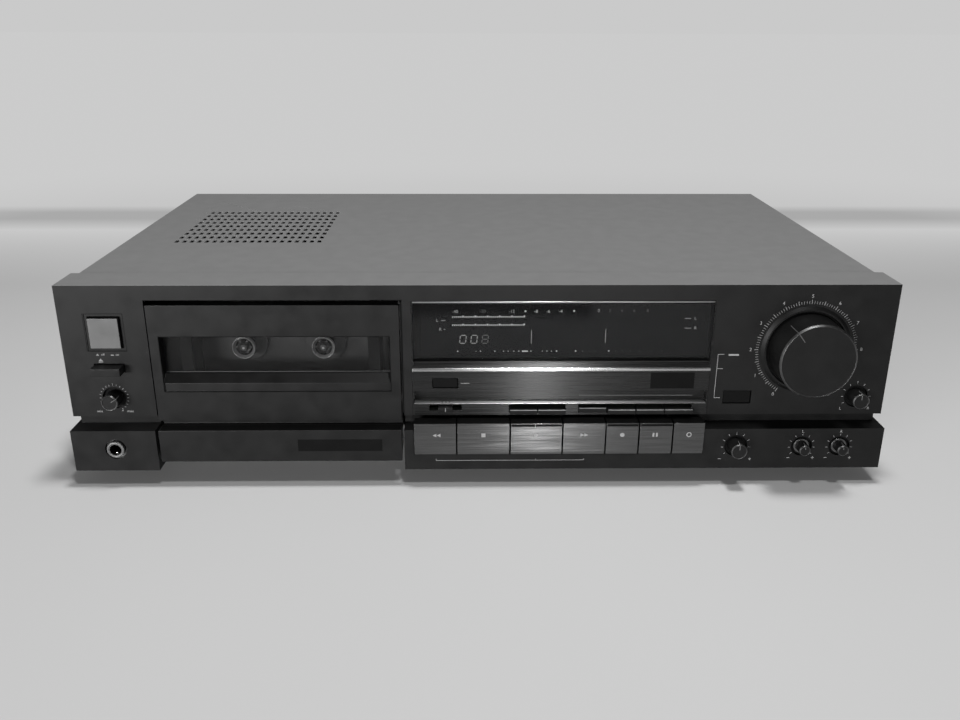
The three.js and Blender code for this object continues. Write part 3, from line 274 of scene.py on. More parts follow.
def add_plain_finishes():
    surface("fascia", grey(0.003), 0.4, specular=0.21, mottle=0.2, grain_size=0.25, grain_depth=0.003)
    surface("cover", grey(0.2), 0.5, specular=0.45, mottle=0.03, rough_spread=0.015, grain_depth=0.006)
    surface("black_plastic", grey(0.005), 0.42, specular=0.17, grain_size=0.3)
    surface("button_face", grey(0.075), 0.36, mottle=0.06, grain_size=0.2)
    surface("light_plastic", grey(0.55), 0.4, mottle=0.05, grain_size=0.3)
    surface("rubber", grey(0.012), 0.75, grain_size=0.5, grain_depth=0.02)
    surface("circuit_board", (0.05, 0.075, 0.04), 0.45, mottle=0.25, mottle_size=5)
    surface("display", (0.008, 0.009, 0.01), 0.35, specular=0.2, grain_depth=0.0005)
    surface("plate", grey(0.002), 0.45, specular=0.08, mottle=0.15, grain_size=0.2, grain_depth=0.002)
    ink("ink", 0.21)
    ink("dim_ink", 0.1)
    ink("grey_ink", 0.05)


def add_metal_finishes():
    surface("chrome", grey(0.72), 0.16, metallic=1.0, mottle=0.04, grain_depth=0.0004)
    surface("ring_chrome", grey(0.14), 0.5, metallic=1.0, mottle=0.06, grain_depth=0.001)
    surface("steel", grey(0.42), 0.36, metallic=1.0, mottle=0.1, stretch=(0.2, 1, 1), grain_depth=0.002)
    surface("dull_steel", grey(0.09), 0.42, metallic=1.0, mottle=0.1, grain_depth=0.002)
    surface("iron", grey(0.05), 0.5, metallic=0.4, mottle=0.15, stretch=(1, 1, 0.1), grain_depth=0.01)
    surface("dark_rim", grey(0.1), 0.38, metallic=1.0, mottle=0.1, mottle_size=2, grain_depth=0.0006)
    surface("lever_trim", grey(0.4), 0.4, metallic=1.0, mottle=0.1, mottle_size=2)
    surface("reel_rim", grey(0.6), 0.3, metallic=0.7, mottle=0.05, grain_size=0.3)
    brushed("brushed", grey(0.125), 0.22, mottle=0.25, mottle_size=0.5, grain_depth=0.003)
    brushed("dark_brushed", grey(0.014), 0.28, metallic=0.45, mottle=0.2, mottle_size=0.6, grain_depth=0.003)
    brushed("light_brushed", grey(0.75), 0.32, mottle=0.15, mottle_size=0.6, grain_depth=0.004)
    brushed("bright_brushed", grey(0.5), 0.25, grain_size=0.3, mottle=0.1, mottle_size=0.6, grain_depth=0.002)


def add_clear_and_lit_finishes():
    smoked_glass("smoked_glass", 0.4)
    smoked_glass("door_glass", 0.3)
    lit("bright_segments", grey(0.9), 1.3)
    lit("dim_segments", grey(0.5), 1.5)
    lit("faint_segments", grey(0.3), 0.8)


add_plain_finishes()
add_metal_finishes()
add_clear_and_lit_finishes()


# CAD nodes keep their shape: their flats are merged, their edges rounded and their curves smoothed
SMOOTH_BELOW = 32
EDGE_FROM = 40
FLAT_WITHIN = 0.5
EDGE_STEPS = 2
WELD = 0.00001


def smoothing_group():
    tree = bpy.data.node_groups.new("smooth_by_angle", "GeometryNodeTree")
    for direction in ("INPUT", "OUTPUT"):
        tree.interface.new_socket("Geometry", in_out=direction, socket_type="NodeSocketGeometry")
    last = tree.nodes.new("NodeGroupInput").outputs[0]
    for attribute in ("custom_normal", "sharp_face", "sharp_edge"):
        remove = add_node(tree, "GeometryNodeRemoveAttribute", Name=attribute, Geometry=last)
        last = remove.outputs["Geometry"]
    angle = tree.nodes.new("GeometryNodeInputMeshEdgeAngle")
    sharp = tree.nodes.new("FunctionNodeCompare")
    sharp.data_type = "FLOAT"
    sharp.operation = "GREATER_THAN"
    fill(tree, sharp, A=angle.outputs["Unsigned Angle"], B=math.radians(SMOOTH_BELOW))
    shade = tree.nodes.new("GeometryNodeSetShadeSmooth")
    shade.domain = "EDGE"
    fill(tree, shade, Shade_Smooth=False, Geometry=last, Selection=sharp.outputs["Result"])
    tree.links.new(shade.outputs["Geometry"], tree.nodes.new("NodeGroupOutput").inputs[0])
    return tree


smooth_by_angle = smoothing_group()


def soften(node, radius, flats_merged=True):
    """Rounds the node's edges by a radius and smooths its curves."""
    weld = node.modifiers.new("weld", "WELD")
    weld.merge_threshold = WELD
    if flats_merged:
        flats = node.modifiers.new("flats", "DECIMATE")
        flats.decimate_type = "DISSOLVE"
        flats.angle_limit = math.radians(FLAT_WITHIN)
    if radius:
        edges = node.modifiers.new("edges", "BEVEL")
        edges.width = radius * MM
        edges.segments = EDGE_STEPS
        edges.limit_method = "ANGLE"
        edges.angle_limit = math.radians(EDGE_FROM)
        edges.use_clamp_overlap = True
    smooth = node.modifiers.new("smooth", "NODES")
    smooth.node_group = smooth_by_angle
    normals = node.modifiers.new("normals", "WEIGHTED_NORMAL")
    normals.keep_sharp = True


edge_radius = {
    "front_panel": 0.25,
    "door_panel": 0.2,
    "door_flap": 0.25,
    "trim_bar": 0.1,
    "top_cover": 0.3,
    "rear_panel": 0.2,
    "head_carriage": 0.1,
}
OTHER_EDGES = 0.15
flats_kept = ("centre_panel",)
TRANSPORT = ("rewind", "stop", "play", "forward", "record", "pause", "mute")
transport_buttons = [word + "_button" for word in TRANSPORT]
LEVER_COUNT = 6
levers = [f"push_lever_{number}" for number in range(1, LEVER_COUNT + 1)]
finish_of_node = {row["node"]: row["material_slot"] for row in frame["record"]["subparts"]}
finish_of_node |= {"centre_panel": "dark_brushed", "trim_bar": "bright_brushed"}
finish_of_node |= {"door_window": "door_glass", "phones_jack": "ring_chrome"}
finish_of_node |= dict.fromkeys(("mechanism_plate", "supply_spindle", "takeup_spindle"), "dull_steel")
finish_of_node |= dict.fromkeys(["monitor_button", "counter_reset_button", *transport_buttons], "plate")
finish_of_node |= dict.fromkeys(["power_button", *levers], "black_plastic")

for name, node in nodes.items():
    for material_slot in node.material_slots:
        material_slot.material = finishes[finish_of_node[name]]
    soften(node, edge_radius.get(name, OTHER_EDGES), name not in flats_kept)


# Building pieces
PRINT = 0.05
BURIED = 0.02
CAPITAL_SHARE = 0.73
LETTER_STEPS = 4
ROUND_STEPS = 4
DISC_SIDES = 24
sides = Sizes(tip=32, screw=36, small=48, knob=72, dial=96)


def from_above(x, level, y):
    return metres(x, y, level)


def from_side(y, level, z):
    return metres(level, y, z)


def made(points, faces):
    mesh = bpy.data.meshes.new("form")
    mesh.from_pydata(points, [], faces)
    return mesh


def slab(outline, front, back, place=metres):
    """A plate between two levels, from an outline of (across, up) pairs."""
    count = len(outline)
    points = [place(across, level, up) for level in (front, back) for across, up in outline]
    faces = [tuple(range(count)), tuple(range(2 * count - 1, count - 1, -1))]
    for i in range(count):
        j = (i + 1) % count
        faces.append((i, i + count, j + count, j))
    return made(points, faces)


def around(centre, radius, degrees):
    angle = math.radians(degrees)
    return centre[0] + radius * math.cos(angle), centre[1] + radius * math.sin(angle)


def turned(centre, profile, count, place=metres):
    """A form turned round an axis, from (radius, level) pairs."""
    points = []
    for radius, level in profile:
        for i in range(count):
            across, up = around(centre, radius, i * FULL_CIRCLE / count)
            points.append(place(across, level, up))
    faces = []
    for row in range(len(profile) - 1):
        for i in range(count):
            j = (i + 1) % count
            first = row * count
            faces.append((first + i, first + j, first + count + j, first + count + i))
    return made(points, faces)


def rounded(points, radius, steps=ROUND_STEPS):
    """The same line of points with its inner corners rounded."""
    line = [points[0]]
    for before, corner, after in zip(points, points[1:], points[2:]):
        reaches = []
        for end in (before, after):
            length = math.dist(corner, end)
            share = min(radius, length / 2) / length
            reaches.append([c + (e - c) * share for c, e in zip(corner, end)])
        for i in range(steps + 1):
            t = i / steps
            weights = ((1 - t) ** 2, 2 * t * (1 - t), t**2)
            axes = zip(reaches[0], corner, reaches[1])
            line.append(tuple(sum(weight * value for weight, value in zip(weights, axis)) for axis in axes))
    return line + [points[-1]]


def moved(shape, across, along):
    """The same pairs of numbers, each with something added."""
    return [(a + across, b + along) for a, b in shape]


def add_piece(name, solids, finish, body, edge=0.0, stands_for=()):
    """Joins the solids into one piece that rides on a body."""
    form = bmesh.new()
    for solid in solids:
        form.from_mesh(solid)
        bpy.data.meshes.remove(solid)
    bmesh.ops.remove_doubles(form, verts=form.verts, dist=WELD)
    bmesh.ops.recalc_face_normals(form, faces=form.faces)
    mesh = bpy.data.meshes.new(name)
    form.to_mesh(mesh)
    form.free()
    mesh.materials.append(finishes[finish])
    piece = bpy.data.objects.new(name, mesh)
    bpy.context.scene.collection.objects.link(piece)
    soften(piece, edge)
    if stands_for:
        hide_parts(*stands_for)
    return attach(piece, body)


# Marks, as outlines of (across, up) pairs
def bar(start, end, width):
    (x0, z0), (x1, z1) = start, end
    length = math.dist(start, end)
    across = (z0 - z1) / length * width / 2
    up = (x1 - x0) / length * width / 2
    return [(x0 + across, z0 + up), (x0 - across, z0 - up), (x1 - across, z1 - up), (x1 + across, z1 + up)]


def rectangle(x0, x1, z0, z1):
    return [(x0, z0), (x1, z0), (x1, z1), (x0, z1)]


def disc(centre, radius):
    return [around(centre, radius, i * FULL_CIRCLE / DISC_SIDES) for i in range(DISC_SIDES)]


def ticks(centre, low, high, degrees, width):
    return [bar(around(centre, low, angle), around(centre, high, angle), width) for angle in degrees]


def path(points, width):
    return [bar(start, end, width) for start, end in zip(points, points[1:])]


def frame_line(corners, width):
    outline = rectangle(*corners)
    return path(outline + outline[:1], width)


def arrow(x, z, width, height):
    """A triangle that points along its width, to the left where that is negative."""
    return [(x - width / 2, z - height / 2), (x + width / 2, z), (x - width / 2, z + height / 2)]


def lettering(words, x, z, height, level, place=metres):
    """Upright numbers or letters as a thin solid in front of a level."""
    data = bpy.data.curves.new("lettering", "FONT")
    data.body = words
    data.size = height / CAPITAL_SHARE
    data.align_x = "CENTER"
    data.align_y = "CENTER"
    data.extrude = PRINT / 2
    data.resolution_u = LETTER_STEPS
    text = bpy.data.objects.new("lettering", data)
    bpy.context.scene.collection.objects.link(text)
    bpy.context.view_layer.update()
    mesh = bpy.data.meshes.new_from_object(text.evaluated_get(bpy.context.evaluated_depsgraph_get()))
    bpy.data.objects.remove(text)
    for vertex in mesh.vertices:
        across, up, out = vertex.co
        vertex.co = place(x + across, level - out, z + up)
    return mesh


def add_print(name, level, finish, body, outlines=(), letters=(), place=metres, side=-1):
    """Printed marks on a level: outlines, and letters as (words, x, z, height)."""
    front = level + side * PRINT
    back = level - side * BURIED
    solids = [slab(outline, front, back, place) for outline in outlines]
    solids += [lettering(*letter, level, place) for letter in letters]
    add_piece(name, solids, finish, body)


# Input level dial: numbers 0 to 10 round it, a tick for every tenth, a longer one for every half
DIAL = (170, 75)
dial = Sizes(
    zero_angle=240,
    number_angle=30,
    last=10,
    tenths=10,
    long_every=5,
    tick_inner=24.9,
    short_tick=26.4,
    short_width=0.17,
    long_tick=27.0,
    long_width=0.26,
    number_radius=29.0,
    number_height=1.9,
)


def dial_angle(number):
    return dial.zero_angle - dial.number_angle * number


def add_dial_marks():
    count = dial.last * dial.tenths
    short = [dial_angle(i / dial.tenths) for i in range(count + 1) if i % dial.long_every]
    long = [dial_angle(i / dial.tenths) for i in range(0, count + 1, dial.long_every)]
    outlines = ticks(DIAL, dial.tick_inner, dial.short_tick, short, dial.short_width)
    outlines += ticks(DIAL, dial.tick_inner, dial.long_tick, long, dial.long_width)
    letters = []
    for number in range(dial.last + 1):
        x, z = around(DIAL, dial.number_radius, dial_angle(number))
        letters.append((str(number), x, z, dial.number_height))
    add_print("dial_marks", 0, "ink", "case", outlines, letters)


# Knobs. Each profile is a line of (radius, level) pairs
def add_pointer(name, centre, line, finish, body):
    """A line across the face of a knob, out to its side."""
    inner = around(centre, line.inner, line.angle)
    outer = around(centre, line.outer + PRINT, line.angle)
    add_piece(name, [slab(bar(inner, outer, line.width), line.front - PRINT, line.back)], finish, body)


big_knob = Sizes(
    body=[(0, -18.9), (18.3, -18.9), (18.8, -19), (19.6, -18.1), (19.6, 1.2), (3, 1.2), (3, 3.5), (0, 3.5)],
    body_round=0.12,
    rim=[(18.6, -18.4), (18.7, -19.06), (18.85, -19.06), (19.66, -18.16), (19.66, -17.9), (19, -17.9)],
    rim_round=0.1,
    pointer=Sizes(angle=128, inner=13.5, outer=19.65, front=-19.02, back=-7, width=0.4),
)


def add_big_knob():
    name = "input_level_knob"
    form = turned(DIAL, rounded(big_knob.body, big_knob.body_round), sides.dial)
    add_piece("input_knob_body", [form], "black_plastic", name, 0, [name])
    rim = rounded(big_knob.rim, big_knob.rim_round)
    add_piece("input_knob_rim", [turned(DIAL, rim + rim[:1], sides.dial)], "dark_rim", name)
    add_pointer("input_knob_pointer", DIAL, big_knob.pointer, "grey_ink", name)


# Small knobs: level is the panel's face, angle is the pointer's, hole is the radius of the panel's hole
small_knobs = {
    "phones_knob": Sizes(centre=(-192, 48.95), level=0, radius=4.3, proud=7.8, angle=32, hole=6.1),
    "balance_knob": Sizes(centre=(200, 48.5), level=0, radius=4.3, proud=7.8, angle=UPRIGHT, hole=6.2),
    "bias_knob": Sizes(centre=(136.5, 23.05), level=STRIP_Y, radius=4.25, proud=7.8, angle=UPRIGHT, hole=6.1),
}
for side, x in (("left", 171.8), ("right", 192)):
    knob = Sizes(centre=(x, 22.7), level=STRIP_Y, radius=3, proud=6.3, angle=UPRIGHT, hole=5.6)
    small_knobs[side + "_calibration_knob"] = knob

# The front edge and the rim are pairs counted from the knob's side and front
cap = Sizes(
    dish=0.12,
    edge=[(-0.9, 0.12), (-0.75, 0), (-0.5, 0), (-0.08, 0.45)],
    rim=[(-0.55, -0.02), (-0.42, -0.04), (0.02, 0.42), (0.02, 0.6), (-0.4, 0.6), (-0.55, -0.02)],
    back=1.2,
    shaft_radius=1.6,
    shaft_length=2.3,
    corner=0.1,
    corner_steps=3,
    pointer_start_share=0.25,
    pointer_depth_share=0.6,
    pointer_front=0.08,
    pointer_width=0.3,
)

# The calibration knobs' lower ring: its lip is pairs counted from its side and the panel's face
collar = Sizes(
    radius=4.2,
    front=0.4,
    gap=0.05,
    inner=(0.5, 0.1),
    lip=[(-0.2, 0.1), (0.03, 0.35), (0.03, 0.6)],
    corner=0.08,
)


def add_collar(name, knob):
    inner = [(knob.radius + collar.gap, knob.level + level) for level in collar.inner]
    profile = inner + moved(collar.lip, collar.radius, knob.level) + inner[:1]
    form = turned(knob.centre, rounded(profile, collar.corner), sides.knob)
    add_piece(name + "_collar", [form], "dark_rim", name)


def add_small_knob(name, knob):
    has_collar = "calibration" in name
    front = knob.level - knob.proud
    back = knob.level + cap.back
    end = back + cap.shaft_length
    profile = [(0, front + cap.dish)] + moved(cap.edge, knob.radius, front)
    if has_collar:
        ring_front = knob.level + collar.front
        profile += [(knob.radius, ring_front), (collar.radius, ring_front), (collar.radius, back)]
    else:
        profile += [(knob.radius, back)]
    profile += [(cap.shaft_radius, back), (cap.shaft_radius, end), (0, end)]
    form = turned(knob.centre, rounded(profile, cap.corner, cap.corner_steps), sides.knob)
    add_piece(name + "_body", [form], "black_plastic", name, 0, [name])
    rim = turned(knob.centre, moved(cap.rim, knob.radius, front), sides.knob)
    add_piece(name + "_rim", [rim], "dark_rim", name)
    pointer = Sizes(
        angle=knob.angle,
        inner=knob.radius * cap.pointer_start_share,
        outer=knob.radius,
        front=front + cap.pointer_front,
        back=front + cap.pointer_depth_share * knob.proud,
        width=cap.pointer_width,
    )
    add_pointer(name + "_pointer", knob.centre, pointer, "dim_ink", name)
    if has_collar:
        add_collar(name, knob)


well = Sizes(front=1.6, back=2.2, overlap=0.1, bore=1.9, dial_bore=3.3, dial_hole=21.2)


def add_wells():
    """Near-black washers that close the holes round the knobs' shafts: painted shade in the holes."""
    washers = []
    wells = [(knob.centre, knob.level, well.bore, knob.hole) for knob in small_knobs.values()]
    for centre, level, bore, hole in wells + [(DIAL, 0, well.dial_bore, well.dial_hole)]:
        washer = rectangle(bore, hole + well.overlap, well.front, well.back)
        washers.append(turned(centre, moved(washer + washer[:1], 0, level), sides.small))
    add_piece("knob_wells_painted_shade", washers, "plate", "case")


# Ticks round the small knobs: knob, inner and outer radius, degrees between, how many on each side, width
upper_ticks = [
    ("phones_knob", 6.8, 7.7, 15, 10, 0.22),
    ("phones_knob", 6.6, 8.1, 0, 0, 0.3),
    ("balance_knob", 6.9, 8.0, 30, 4, 0.24),
    ("balance_knob", 6.9, 8.6, 0, 0, 0.3),
]
strip_ticks = [
    ("bias_knob", 6.7, 7.9, 32, 4, 0.24),
    ("bias_knob", 6.4, 8.0, 0, 0, 0.32),
    ("left_calibration_knob", 6.1, 7.2, 32, 4, 0.22),
    ("right_calibration_knob", 6.1, 7.2, 32, 4, 0.22),
]
phones_dot = ((-188.5, 41.7), 0.35)
upper_letters = [
    ("min", -200.6, 41.3, 1.5),
    ("max", -184.6, 41.3, 1.5),
    ("L", 192.6, 41.5, 1.6),
    ("R", 207.6, 41.5, 1.6),
]
strip_letters = [("L", 171.7, 31.1, 1.6), ("R", 192.1, 31.1, 1.6)]
# Plus and minus signs: the middle of each, and whether it is a plus
signs = [
    ((128.5, 15.3), False),
    ((144.8, 15.2), True),
    ((165.4, 15.8), False),
    ((178.6, 15.8), True),
    ((185.5, 15.8), False),
    ((198.6, 15.7), True),
]
SIGN_REACH, SIGN_WIDTH = 0.75, 0.3
selector_bracket = [(-23.3, 15.9), (-23.3, 15), (55.5, 15), (55.5, 15.9)]
selector_tick = [(29.8, 15), (29.8, 15.8)]
THIN_LINE = 0.22


def ring_of_ticks(knob, inner, outer, step, count, width):
    degrees = [UPRIGHT + step * i for i in range(-count, count + 1)]
    return ticks(small_knobs[knob].centre, inner, outer, degrees, width)


def add_small_marks():
    upper = [tick for row in upper_ticks for tick in ring_of_ticks(*row)]
    upper.append(disc(*phones_dot))
    add_print("upper_marks", 0, "ink", "case", upper, upper_letters)
    lower = [tick for row in strip_ticks for tick in ring_of_ticks(*row)]
    for (x, z), is_plus in signs:
        lower.append(bar((x - SIGN_REACH, z), (x + SIGN_REACH, z), SIGN_WIDTH))
        if is_plus:
            lower.append(bar((x, z - SIGN_REACH), (x, z + SIGN_REACH), SIGN_WIDTH))
    lower += path(selector_bracket, THIN_LINE) + path(selector_tick, THIN_LINE)
    add_print("strip_marks", STRIP_Y, "ink", "case", lower, strip_letters)


# Plates: corners as left, right, low and high, then front and back level, finish, body and edge radius
left_plates = {
    "power_button_face": ((-199.55, -184.25, 77.15, 93.05), -1.75, -1.3, "button_face", "power_button", 0.12),
    "eject_button_face": ((-199.45, -184.75, 63.75, 67.2), -7.1, -6.6, "fascia", "eject_button", 0.1),
}
contact_plates = {"jack_contact": ((-192.9, -191.7, 19.4, 20.2), -6.2, -2, "chrome", "case", 0.15)}
flap_plates = {"flap_plate": ((-96.3, -51.7, 20.8, 27.6), -7.0, -6.8, "plate", "door", 0.05)}
centre_plates = {"class_plate": ((89.9, 113, 53.4, 62.3), -0.12, 0.05, "plate", "case", 0.04)}
timer_plates = {"timer_tick": ((-18.28, -18.02, 41.45, 43.85), -3.06, -2.9, "ink", "timer_slider", 0)}


def add_plates(plates):
    for name, (corners, front, back, finish, body, edge) in plates.items():
        add_piece(name, [slab(rectangle(*corners), front, back)], finish, body, edge)


# Left section: power button face and frame line, eject bar, jack
power_frame = Sizes(corners=(-202.2, -182, 75, 95.2), width=0.3)
eject_mark = [[(-197.3, 69.6), (-195, 69.6), (-196.15, 71)], rectangle(-197.3, -195, 68.9, 69.25)]
off_mark = [(-198.2, 72.6), (-196.6, 72.6), (-197.4, 73.7)]
on_mark = rectangle(-190.6, -189, 72.6, 73.1)
switch_letters = [("off", -194.7, 73.1, 1.3), ("on", -187.2, 73.1, 1.3)]
jack = Sizes(
    centre=(-192.3, 22.3),
    ring=[(3.25, -6.5), (3.3, -7.7), (3.7, -7.95), (4.2, -7.9), (4.55, -7.4), (4.55, -5.5), (3.25, -5.5)]
    + [(3.25, -6.5)],
    ring_round=0.15,
    liner=[(3.22, -7.2), (3.0, -7.0), (3.0, 11), (3.22, 11), (3.22, -7.2)],
)


def add_left_section():
    add_plates(left_plates)
    add_print("power_frame_line", 0, "plate", "case", frame_line(power_frame.corners, power_frame.width))
    add_print("switch_marks", 0, "ink", "case", eject_mark + [off_mark, on_mark], switch_letters)
    ring = turned(jack.centre, rounded(jack.ring, jack.ring_round), sides.knob)
    add_piece("jack_ring", [ring], "ring_chrome", "case")
    add_piece("jack_liner", [turned(jack.centre, jack.liner, sides.small)], "plate", "case")
    add_plates(contact_plates)


# Door: the lines round its window, near-black sheets of painted shade in its upper grooves, a painted shadow
# line in the gap beside it and a painted highlight along its pane's lower edge
door = Sizes(
    frame=(-165.4, -46.6, 52.15, 82.75),
    frame_width=0.4,
    step=[(-164.9, 60.9), (-46.9, 60.9)],
    step_level=4.95,
    step_width=0.5,
    pane_edge=[(-164.6, 61.7), (-47.2, 61.7)],
    pane_level=5,
    gap=[(-40.55, 40), (-40.55, 101.2)],
    gap_width=0.6,
)

# Painted shade: near-black sheets that lie on a flat, seen from above: left, right, front, back, then the
# level
door_painted_shades = {
    "door_top_painted_shade": ((-169.6, -42.2, 0.5, 7.4), 99.5),
    "flap_top_painted_shade": ((-168.4, -41.9, -6.3, -0.3), 32.9),
}


def add_door_details():
    add_plates(flap_plates)
    add_print("window_frame_line", 0, "plate", "door", frame_line(door.frame, door.frame_width))
    add_print("window_step_line", door.step_level, "plate", "door", path(door.step, door.step_width))
    # A dim line along the pane's lower edge: a painted highlight
    add_print("pane_edge_painted_highlight", door.pane_level, "grey_ink", "door", path(door.pane_edge, THIN_LINE))
    # Near-black sheets on the door's top rim and the flap's top: painted shade
    for name, (corners, level) in door_painted_shades.items():
        add_print(name, level, "plate", "door", [rectangle(*corners)], (), from_above, 1)
    # A black line beside the door: painted shadow that widens the gap's shadow
    add_print("door_gap_painted_shadow", 0, "plate", "case", path(door.gap, door.gap_width))


# Display: what the glass shows. Lettering is (words, x, z, height); dots are (x, radius)
DISPLAY_FRONT = 5.7
level_meter = Sizes(rows=(91.5, 87.05), left=-14.4, right=23.7, count=36, long_every=6)
segment = Sizes(width_share=0.74, tooth_share=0.3, low=0.2, tooth=0.6, short=0.15, long=0.6)
digit_form = Sizes(z=79.1, width=3.1, height=4.4, lean=0.1, thick=0.42)
DIGIT_PLACES, FAINT_DIGIT = (-8.8, -3), 2.8
digit_lines = {
    "a": ((0.12, 1), (0.88, 1)),
    "b": ((1, 0.92), (1, 0.56)),
    "c": ((1, 0.44), (1, 0.08)),
    "d": ((0.12, 0), (0.88, 0)),
    "e": ((0, 0.44), (0, 0.08)),
    "f": ((0, 0.92), (0, 0.56)),
    "g": ((0.12, 0.5), (0.88, 0.5)),
}
bright = Sizes(
    scale_dots=[((23.6, 94.4), 0.5), ((48.8, 94.5), 0.5)],
    row=72.45,
    dots=[(-11.6, 0.35), (-2, 0.2), (0.4, 0.3), (7.9, 0.3), (12.5, 0.25), (14.9, 0.25), (17.9, 0.3)]
    + [(20.5, 0.3), (26.9, 0.3), (32.9, 0.25), (35.3, 0.3), (37.7, 0.25), (40.4, 0.4), (50.4, 0.4)]
    + [(67.9, 0.4)],
    block=(22.2, 25.3, 72.1, 72.75),
    letters=[("-8", 29.1, 94.3, 1.7), ("-6", 35.4, 94.3, 1.7), ("-4", 41.9, 94.3, 1.7)],
)
dim = Sizes(
    dividers=[((26.95, 76.5), (26.95, 84.2)), ((65.8, 76.9), (65.8, 84.6))],
    dashes=[((-20.2, 89.5), (-17.8, 89.5)), ((-18.8, 84.6), (-17.9, 84.6))]
    + [((106.5, 90.3), (110, 90.3)), ((106.9, 85), (110.4, 85))],
    width=0.3,
    letters=[("-40", -12.8, 94.2, 1.7), ("-12", 16.5, 94.3, 1.7), ("0", 61.6, 94.6, 1.7)]
    + [("L", -22.2, 89.5, 1.7), ("R", -20.6, 84.6, 1.7), ("L", 112.2, 90.3, 1.7), ("R", 112.6, 85, 1.7)],
)
faint = Sizes(
    row=72.4,
    dots=(54, 57.5, 60.9, 71.5, 75, 79.3, 84, 90.3, 96),
    dot_radius=0.25,
    letters=[("-20", 1.5, 94.4, 1.7), ("2", 67.4, 94.6, 1.6), ("4", 73.5, 94.6, 1.6)]
    + [("6", 80, 94.6, 1.6), ("8", 87, 94.6, 1.6)],
)


def digit(x, lines):
    """A leaning seven-segment digit; lines names those of its segments that are lit."""
    def corner(across, up):
        rise = (up - HALF) * digit_form.height
        return x + (across - HALF) * digit_form.width + rise * digit_form.lean, digit_form.z + rise

    return [bar(*(corner(*end) for end in digit_lines[line]), digit_form.thick) for line in lines]


def level_rows():
    outlines = []
    pitch = (level_meter.right - level_meter.left) / level_meter.count
    for z in level_meter.rows:
        for i in range(level_meter.count):
            x = level_meter.left + i * pitch
            is_long = i % level_meter.long_every == level_meter.long_every - 1
            top = z + (segment.long if is_long else segment.short)
            outlines.append(rectangle(x, x + segment.width_share * pitch, z - segment.low, top))
            outlines.append(rectangle(x, x + segment.tooth_share * pitch, z - segment.tooth, z - segment.low))
    return outlines


def add_display_marks():
    marks = level_rows() + [disc(*dot) for dot in bright.scale_dots]
    marks += [disc((x, bright.row), radius) for x, radius in bright.dots] + [rectangle(*bright.block)]
    add_print("level_segments", DISPLAY_FRONT, "bright_segments", "case", marks, bright.letters)
    marks = [bar(*ends, dim.width) for ends in dim.dividers]
    for x in DIGIT_PLACES:
        marks += digit(x, "abcdef")
    marks += [bar(*ends, dim.width) for ends in dim.dashes]
    add_print("dim_segments", DISPLAY_FRONT, "dim_segments", "case", marks, dim.letters)
    marks = digit(FAINT_DIGIT, "abcdefg")
    marks += [disc((x, faint.row), faint.dot_radius) for x in faint.dots]
    add_print("faint_segments", DISPLAY_FRONT, "faint_segments", "case", marks, faint.letters)


# The window over the display, whose lower edge rolls back
glass = Sizes(
    front=0.8,
    back=3.2,
    low=68.5,
    high=100,
    left=-34.55,
    right=120.05,
    chamfer=0.25,
    roll_height=5.6,
    roll_depth=2.4,
    roll_steps=24,
    roll_start=0.5,
    lip=1.2,
)


def add_display_window():
    front, back, low, high = glass.front, glass.back, glass.low, glass.high
    outline = [(back, high), (front + glass.chamfer, high), (front, high - glass.chamfer)]
    outline.append((front, low + glass.roll_height + glass.roll_start))
    for i in range(glass.roll_steps + 1):
        angle = i / glass.roll_steps * math.pi / 2
        depth = front + glass.roll_depth * (1 - math.cos(angle))
        outline.append((depth, low + glass.roll_height * (1 - math.sin(angle))))
    outline += [(back + glass.lip, low), (back, low + glass.roll_height / 2)]
    form = slab(outline, glass.left, glass.right, from_side)
    add_piece("display_glass", [form], "smoked_glass", "case", 0, ["display_window"])


# Centre panel: bright strips, plate, marks. Each strip is a line of (y, z) pairs
strips = Sizes(
    left=-34.6,
    right=120.1,
    bevel=[(1.3, 100.32), (0.02, 101.35), (-0.03, 101.28), (1.25, 100.25)],
    ledge=[(-0.05, 45.08), (5.35, 45.08), (5.35, 44.98), (0.05, 44.98), (-0.05, 44.9)],
)
centre_lines = [
    [(-10.1, 56.6), (-5.5, 56.6)],
    [(127.5, 72.5), (124.3, 72.5), (124.3, 48), (127.5, 48)],
    [(124.3, 64.5), (127.5, 64.5)],
]
recess = Sizes(line=[(53.3, 47.3), (114.2, 47.2)], level=5.4)
LINE = 0.25
source_lamp = (129.8, 135.2, 71.7, 72.6)
front_cap = Sizes(corners=(-214.95, 214.95, 0.08, 23.85), top=110.1, bottom=110, edge=0.06)
timer_squares = Sizes(places=(-19.9, -18, -16.1), reach=0.45, front=1.2, back=2.6, level=45.08)


def add_centre_details():
    for name, form in (("bevel_strip", strips.bevel), ("ledge_strip", strips.ledge)):
        add_piece(name, [slab(form, strips.left, strips.right, from_side)], "light_brushed", "case")
    add_plates(centre_plates)
    add_print("centre_marks", 0, "ink", "case", [mark for line in centre_lines for mark in path(line, LINE)])
    add_print("recess_line", recess.level, "dim_ink", "case", path(recess.line, LINE))
    add_print("source_lamp", 0, "ink", "case", [rectangle(*source_lamp)])
    cap_form = slab(rectangle(*front_cap.corners), front_cap.top, front_cap.bottom, from_above)
    add_piece("front_cap", [cap_form], "cover", "case", front_cap.edge)
    reach, ends = timer_squares.reach, (timer_squares.front, timer_squares.back)
    squares = [rectangle(x - reach, x + reach, *ends) for x in timer_squares.places]
    add_print("timer_squares", timer_squares.level, "ink", "case", squares, (), from_above, 1)


# Small switches: ribs of the timer slider, and a bright edge along each lever
timer_ribs = Sizes(
    places=(-21.4, -20.5, -19.6, -16.7, -15.8, -14.9),
    reach=0.2,
    low=41.4,
    high=43.9,
    front=-3.25,
    back=-2.9,
    edge=0.08,
)

# The edge strip, as (y, z) pairs counted from the lever's front and top
lever_edge = Sizes(
    form=[(-0.08, -0.25), (-0.08, 0.03), (0.9, 0.03), (0.9, -0.05), (0.03, -0.05), (0.03, -0.25)],
    inset=0.15,
)


